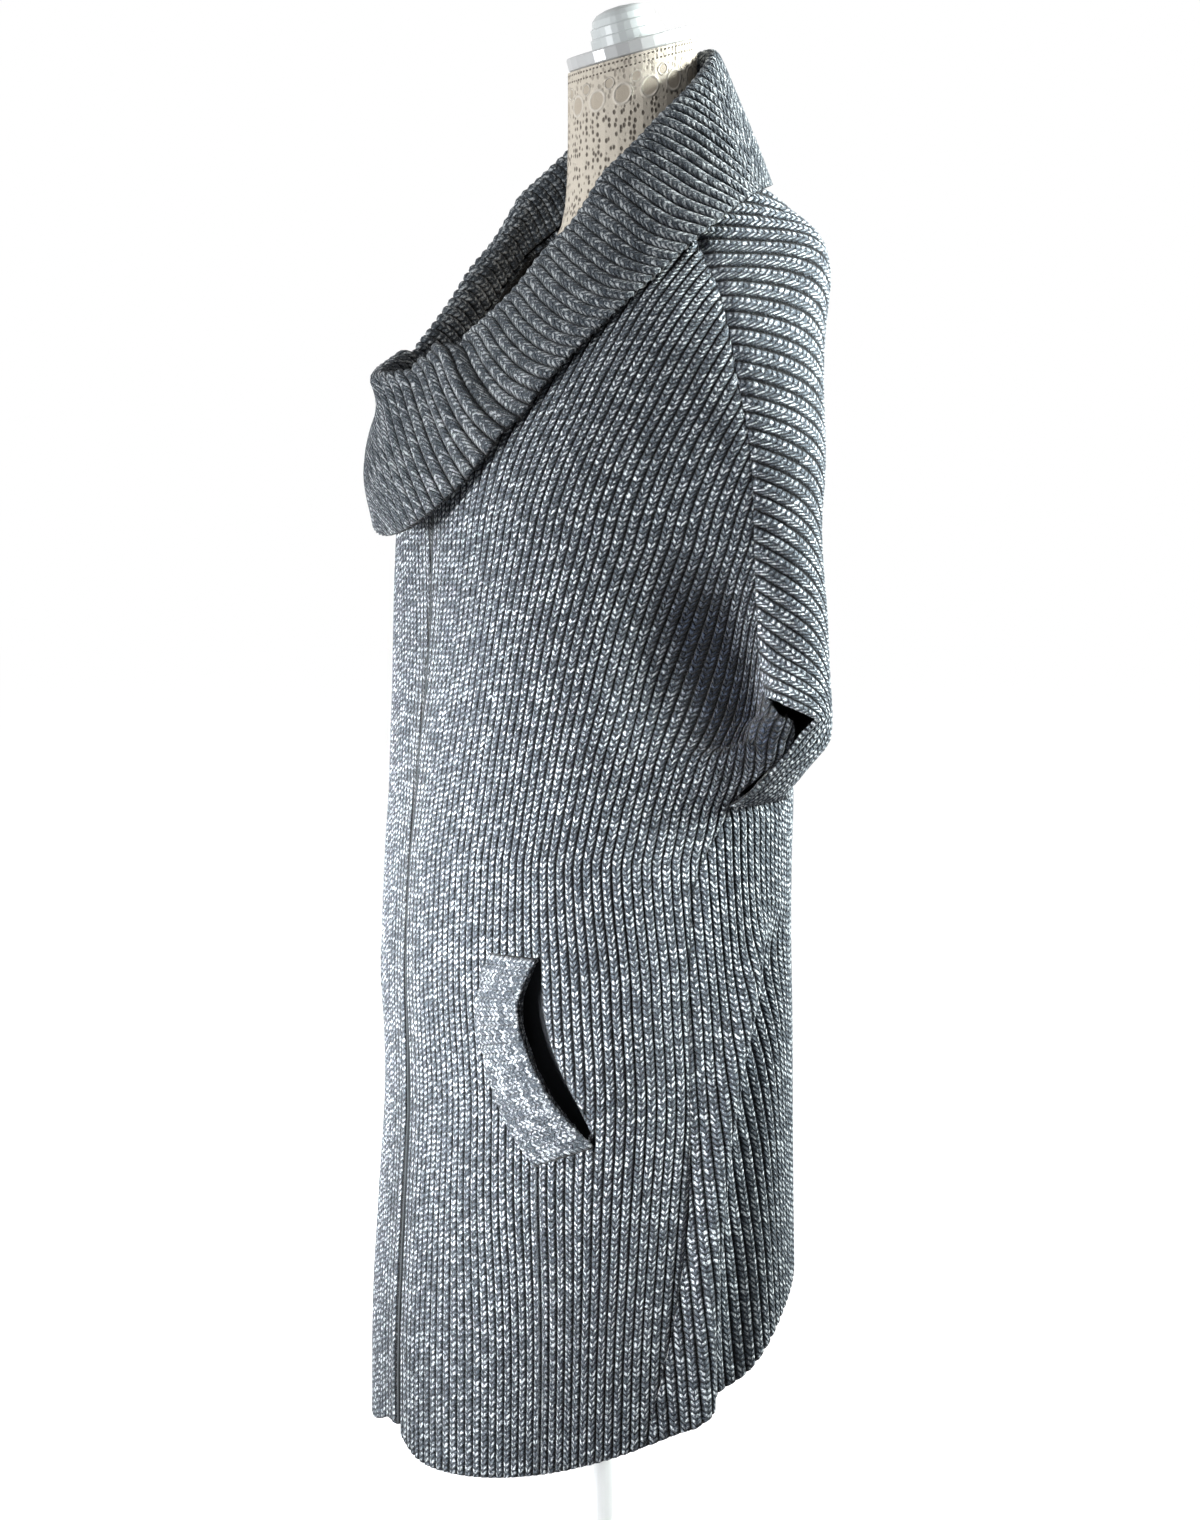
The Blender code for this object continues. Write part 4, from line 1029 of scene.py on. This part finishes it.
# beige jersey under cream lace: rows of dots below the cap, a band of ovals, then a fine net
def formMaterial():
    finish, shader = newMaterial("formLace", roughness=0.85)
    place = objectPlace()
    x, y, z = split(place)
    middleY, middleZ = lace["neck"]
    behind = minus(y, middleY)
    drop = minus(scaled(behind, math.tan(math.radians(lace["tilt"])), middleZ), z)
    walk = times(calc("ARCTAN2", x, times(behind, -1.0)), lace["radius"])

    def cellOff(value, step, shift=0.0):
        return times(minus(fraction(scaled(value, 1.0 / step, shift)), 0.5), step)

    def distance(across, along, wide, tall):
        parts = [toPower(absolute(calc("DIVIDE", way, size)), 2.0)
                 for way, size in ((across, wide), (along, tall))]
        return calc("SQRT", plus(*parts))

    wide, tall = lace["oval"]
    low = minus(drop, lace["ovalDrop"])
    big = distance(cellOff(walk, lace["step"]), low, wide, tall)
    small = distance(cellOff(walk, lace["step"], 0.5), plus(low, lace["smallDrop"]),
                     wide * lace["small"], tall * lace["small"])
    either = calc("MINIMUM", big, small)
    rim = absolute(calc("DIVIDE", minus(either, 1.0), lace["rim"]))
    rim = calc("MAXIMUM", minus(1.0, rim), 0.0)
    insideOval = spread(either, 0.95, 0.80)
    stepAcross, stepDown = lace["dotStep"]
    dots = distance(cellOff(walk, stepAcross), cellOff(drop, stepDown), *lace["dot"])
    dots = times(spread(dots, 1.4, 0.8), spread(drop, *lace["dotsTo"]))
    cells = addNode("TexVoronoi")
    fill(cells, {"Vector": vectorCalc("MULTIPLY", 0, place, lace["netStretch"]), "Scale": lace["net"],
                 "Randomness": 0.6})
    holes = spread(cells.outputs["Distance"], *lace["netHoles"])
    full = spread(drop, lace["netDrop"] - lace["netOver"], lace["netDrop"])
    holes = times(holes, scaled(full, 0.5, 0.5))
    holes = times(holes, minus(1.0, calc("MAXIMUM", insideOval, rim)))
    holes = calc("MAXIMUM", holes, dots)
    grain = noise(place, lace["grainScale"], 2.0)
    colour = (*lace["jersey"], 1.0)
    for share, name in ((times(insideOval, 0.7), "inOval"), (holes, "hole"), (rim, "cord"),
                        (times(grain, 0.35), "grain")):
        colour = blend(share, colour, (*lace[name], 1.0))
    link(colour, shader.inputs["Base Color"])
    height = minus(plus(rim, times(grain, 0.3)), holes)
    bump(shader, height, 0.0010, 0.9)
    return finish


def paintMaterial(name, colour, roughness, speckle=0.02, metallic=0.0):
    finish, shader = newMaterial(name, roughness, metallic)
    place = objectPlace()
    cloud = noise(place, 9.0, 3.0)
    dark = tuple(part * (1.0 - 4.0 * speckle) for part in colour)
    link(blend(cloud, (*dark, 1.0), (*colour, 1.0)), shader.inputs["Base Color"])
    bump(shader, noise(place, 900.0, 1.0), 0.0001, 0.2)
    return finish


def clothMaterial(name, colour, scale):
    finish, shader = newMaterial(name, 0.95)
    grain = noise(objectPlace(), scale, 2.0)
    bright = tuple(2.0 * part for part in colour)
    link(blend(grain, (*colour, 1.0), (*bright, 1.0)), shader.inputs["Base Color"])
    bump(shader, grain, 0.0004, 0.5)
    return finish


zipFinish = {"coil": (0.0021, 0.0017), "turn": 0.0016,
             "tape": (0.006, 0.007, 0.009), "chain": (0.040, 0.047, 0.053)}


# dark tapes, with a paler coil where the chain runs down the middle
def zipMaterial():
    finish, shader = newMaterial("zipTape", 0.8)
    x, _, z = split(objectPlace())
    middle = spread(absolute(x), *zipFinish["coil"])
    turns = calc("SINE", times(z, 2.0 * math.pi / zipFinish["turn"]))
    coil = times(scaled(turns, 0.5, 0.5), middle)
    colour = blend(middle, (*zipFinish["tape"], 1.0), (*zipFinish["chain"], 1.0))
    link(colour, shader.inputs["Base Color"])
    bump(shader, coil, 0.0005, 0.8)
    return finish


def dress(node, finish):
    thing = frame["nodes"][node]
    thing.data.materials.clear()
    thing.data.materials.append(finish)


buildCamera()
buildStudio()
print("studio ready")

bodyKnit = knitMaterial("bodyKnit", groove=(0.49, 0.32, 0.20))
frontKnit = knitMaterial("frontKnit", paintedShade=True)
# the collar's and the bands' knit is the body's knit painted darker all over: painted shade standing in for the
# shade they lie in
ribKnit = knitMaterial("collarKnit", shade=0.47, flecks=-0.01, groove=(0.43, 0.17, 0.03), weave=0.34)
bandKnit = knitMaterial("bandKnit", shade=0.66, flecks=-0.02, groove=(0.47, 0.20, 0.10), weave=0.34)

for node, side in (("left_front", 1), ("right_front", -1)):
    piece = buildFront(node + "_knit", side, frontKnit)
    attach(piece, bodyName)
    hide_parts(node)
print("fronts knitted")

lower = buildLowerBack("back_lower_knit", bodyKnit)
uppers = [buildUpperBack(name + "_back_upper_knit", side, bodyKnit)
          for name, side in (("left", 1), ("right", -1))]
upperFlat = ((0.31, 0.57), 0.154)
for piece, (flat, area) in ((lower, ((0.80, 0.51), 0.25)), (uppers[0], upperFlat), (uppers[1], upperFlat)):
    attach(piece, bodyName)
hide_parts("back_panel")
print("back knitted")

piece = buildCollar("collar_knit", ribKnit)
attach(piece, bodyName)
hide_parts("collar")
print("collar knitted")

for node, side in (("left_pocket_band", 1), ("right_pocket_band", -1)):
    piece = buildBand(node + "_knit", side, bandKnit)
    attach(piece, bodyName)
    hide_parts(node)
print("bands knitted")

dress("form_torso", formMaterial())
dress("neck_cap", paintMaterial("capWhite", (0.42, 0.42, 0.42), 0.3))
dress("cap_knob", paintMaterial("knobGrey", (0.46, 0.48, 0.48), 0.4))
stand = paintMaterial("standPaint", (0.80, 0.80, 0.80), 0.4)
for node in ("stand_base", "stand_flange", "stand_pole"):
    dress(node, stand)
pocketCloth = clothMaterial("pocketCloth", (0.006, 0.007, 0.009), 900.0)
for node in ("left_pocket_bag", "right_pocket_bag"):
    dress(node, pocketCloth)
dress("zip_chain_and_tapes", zipMaterial())
metal = paintMaterial("zipMetal", (0.16, 0.17, 0.18), 0.35, 0.04, 0.9)
dress("zip_slider", metal)
dress("zip_pull_tab", metal)
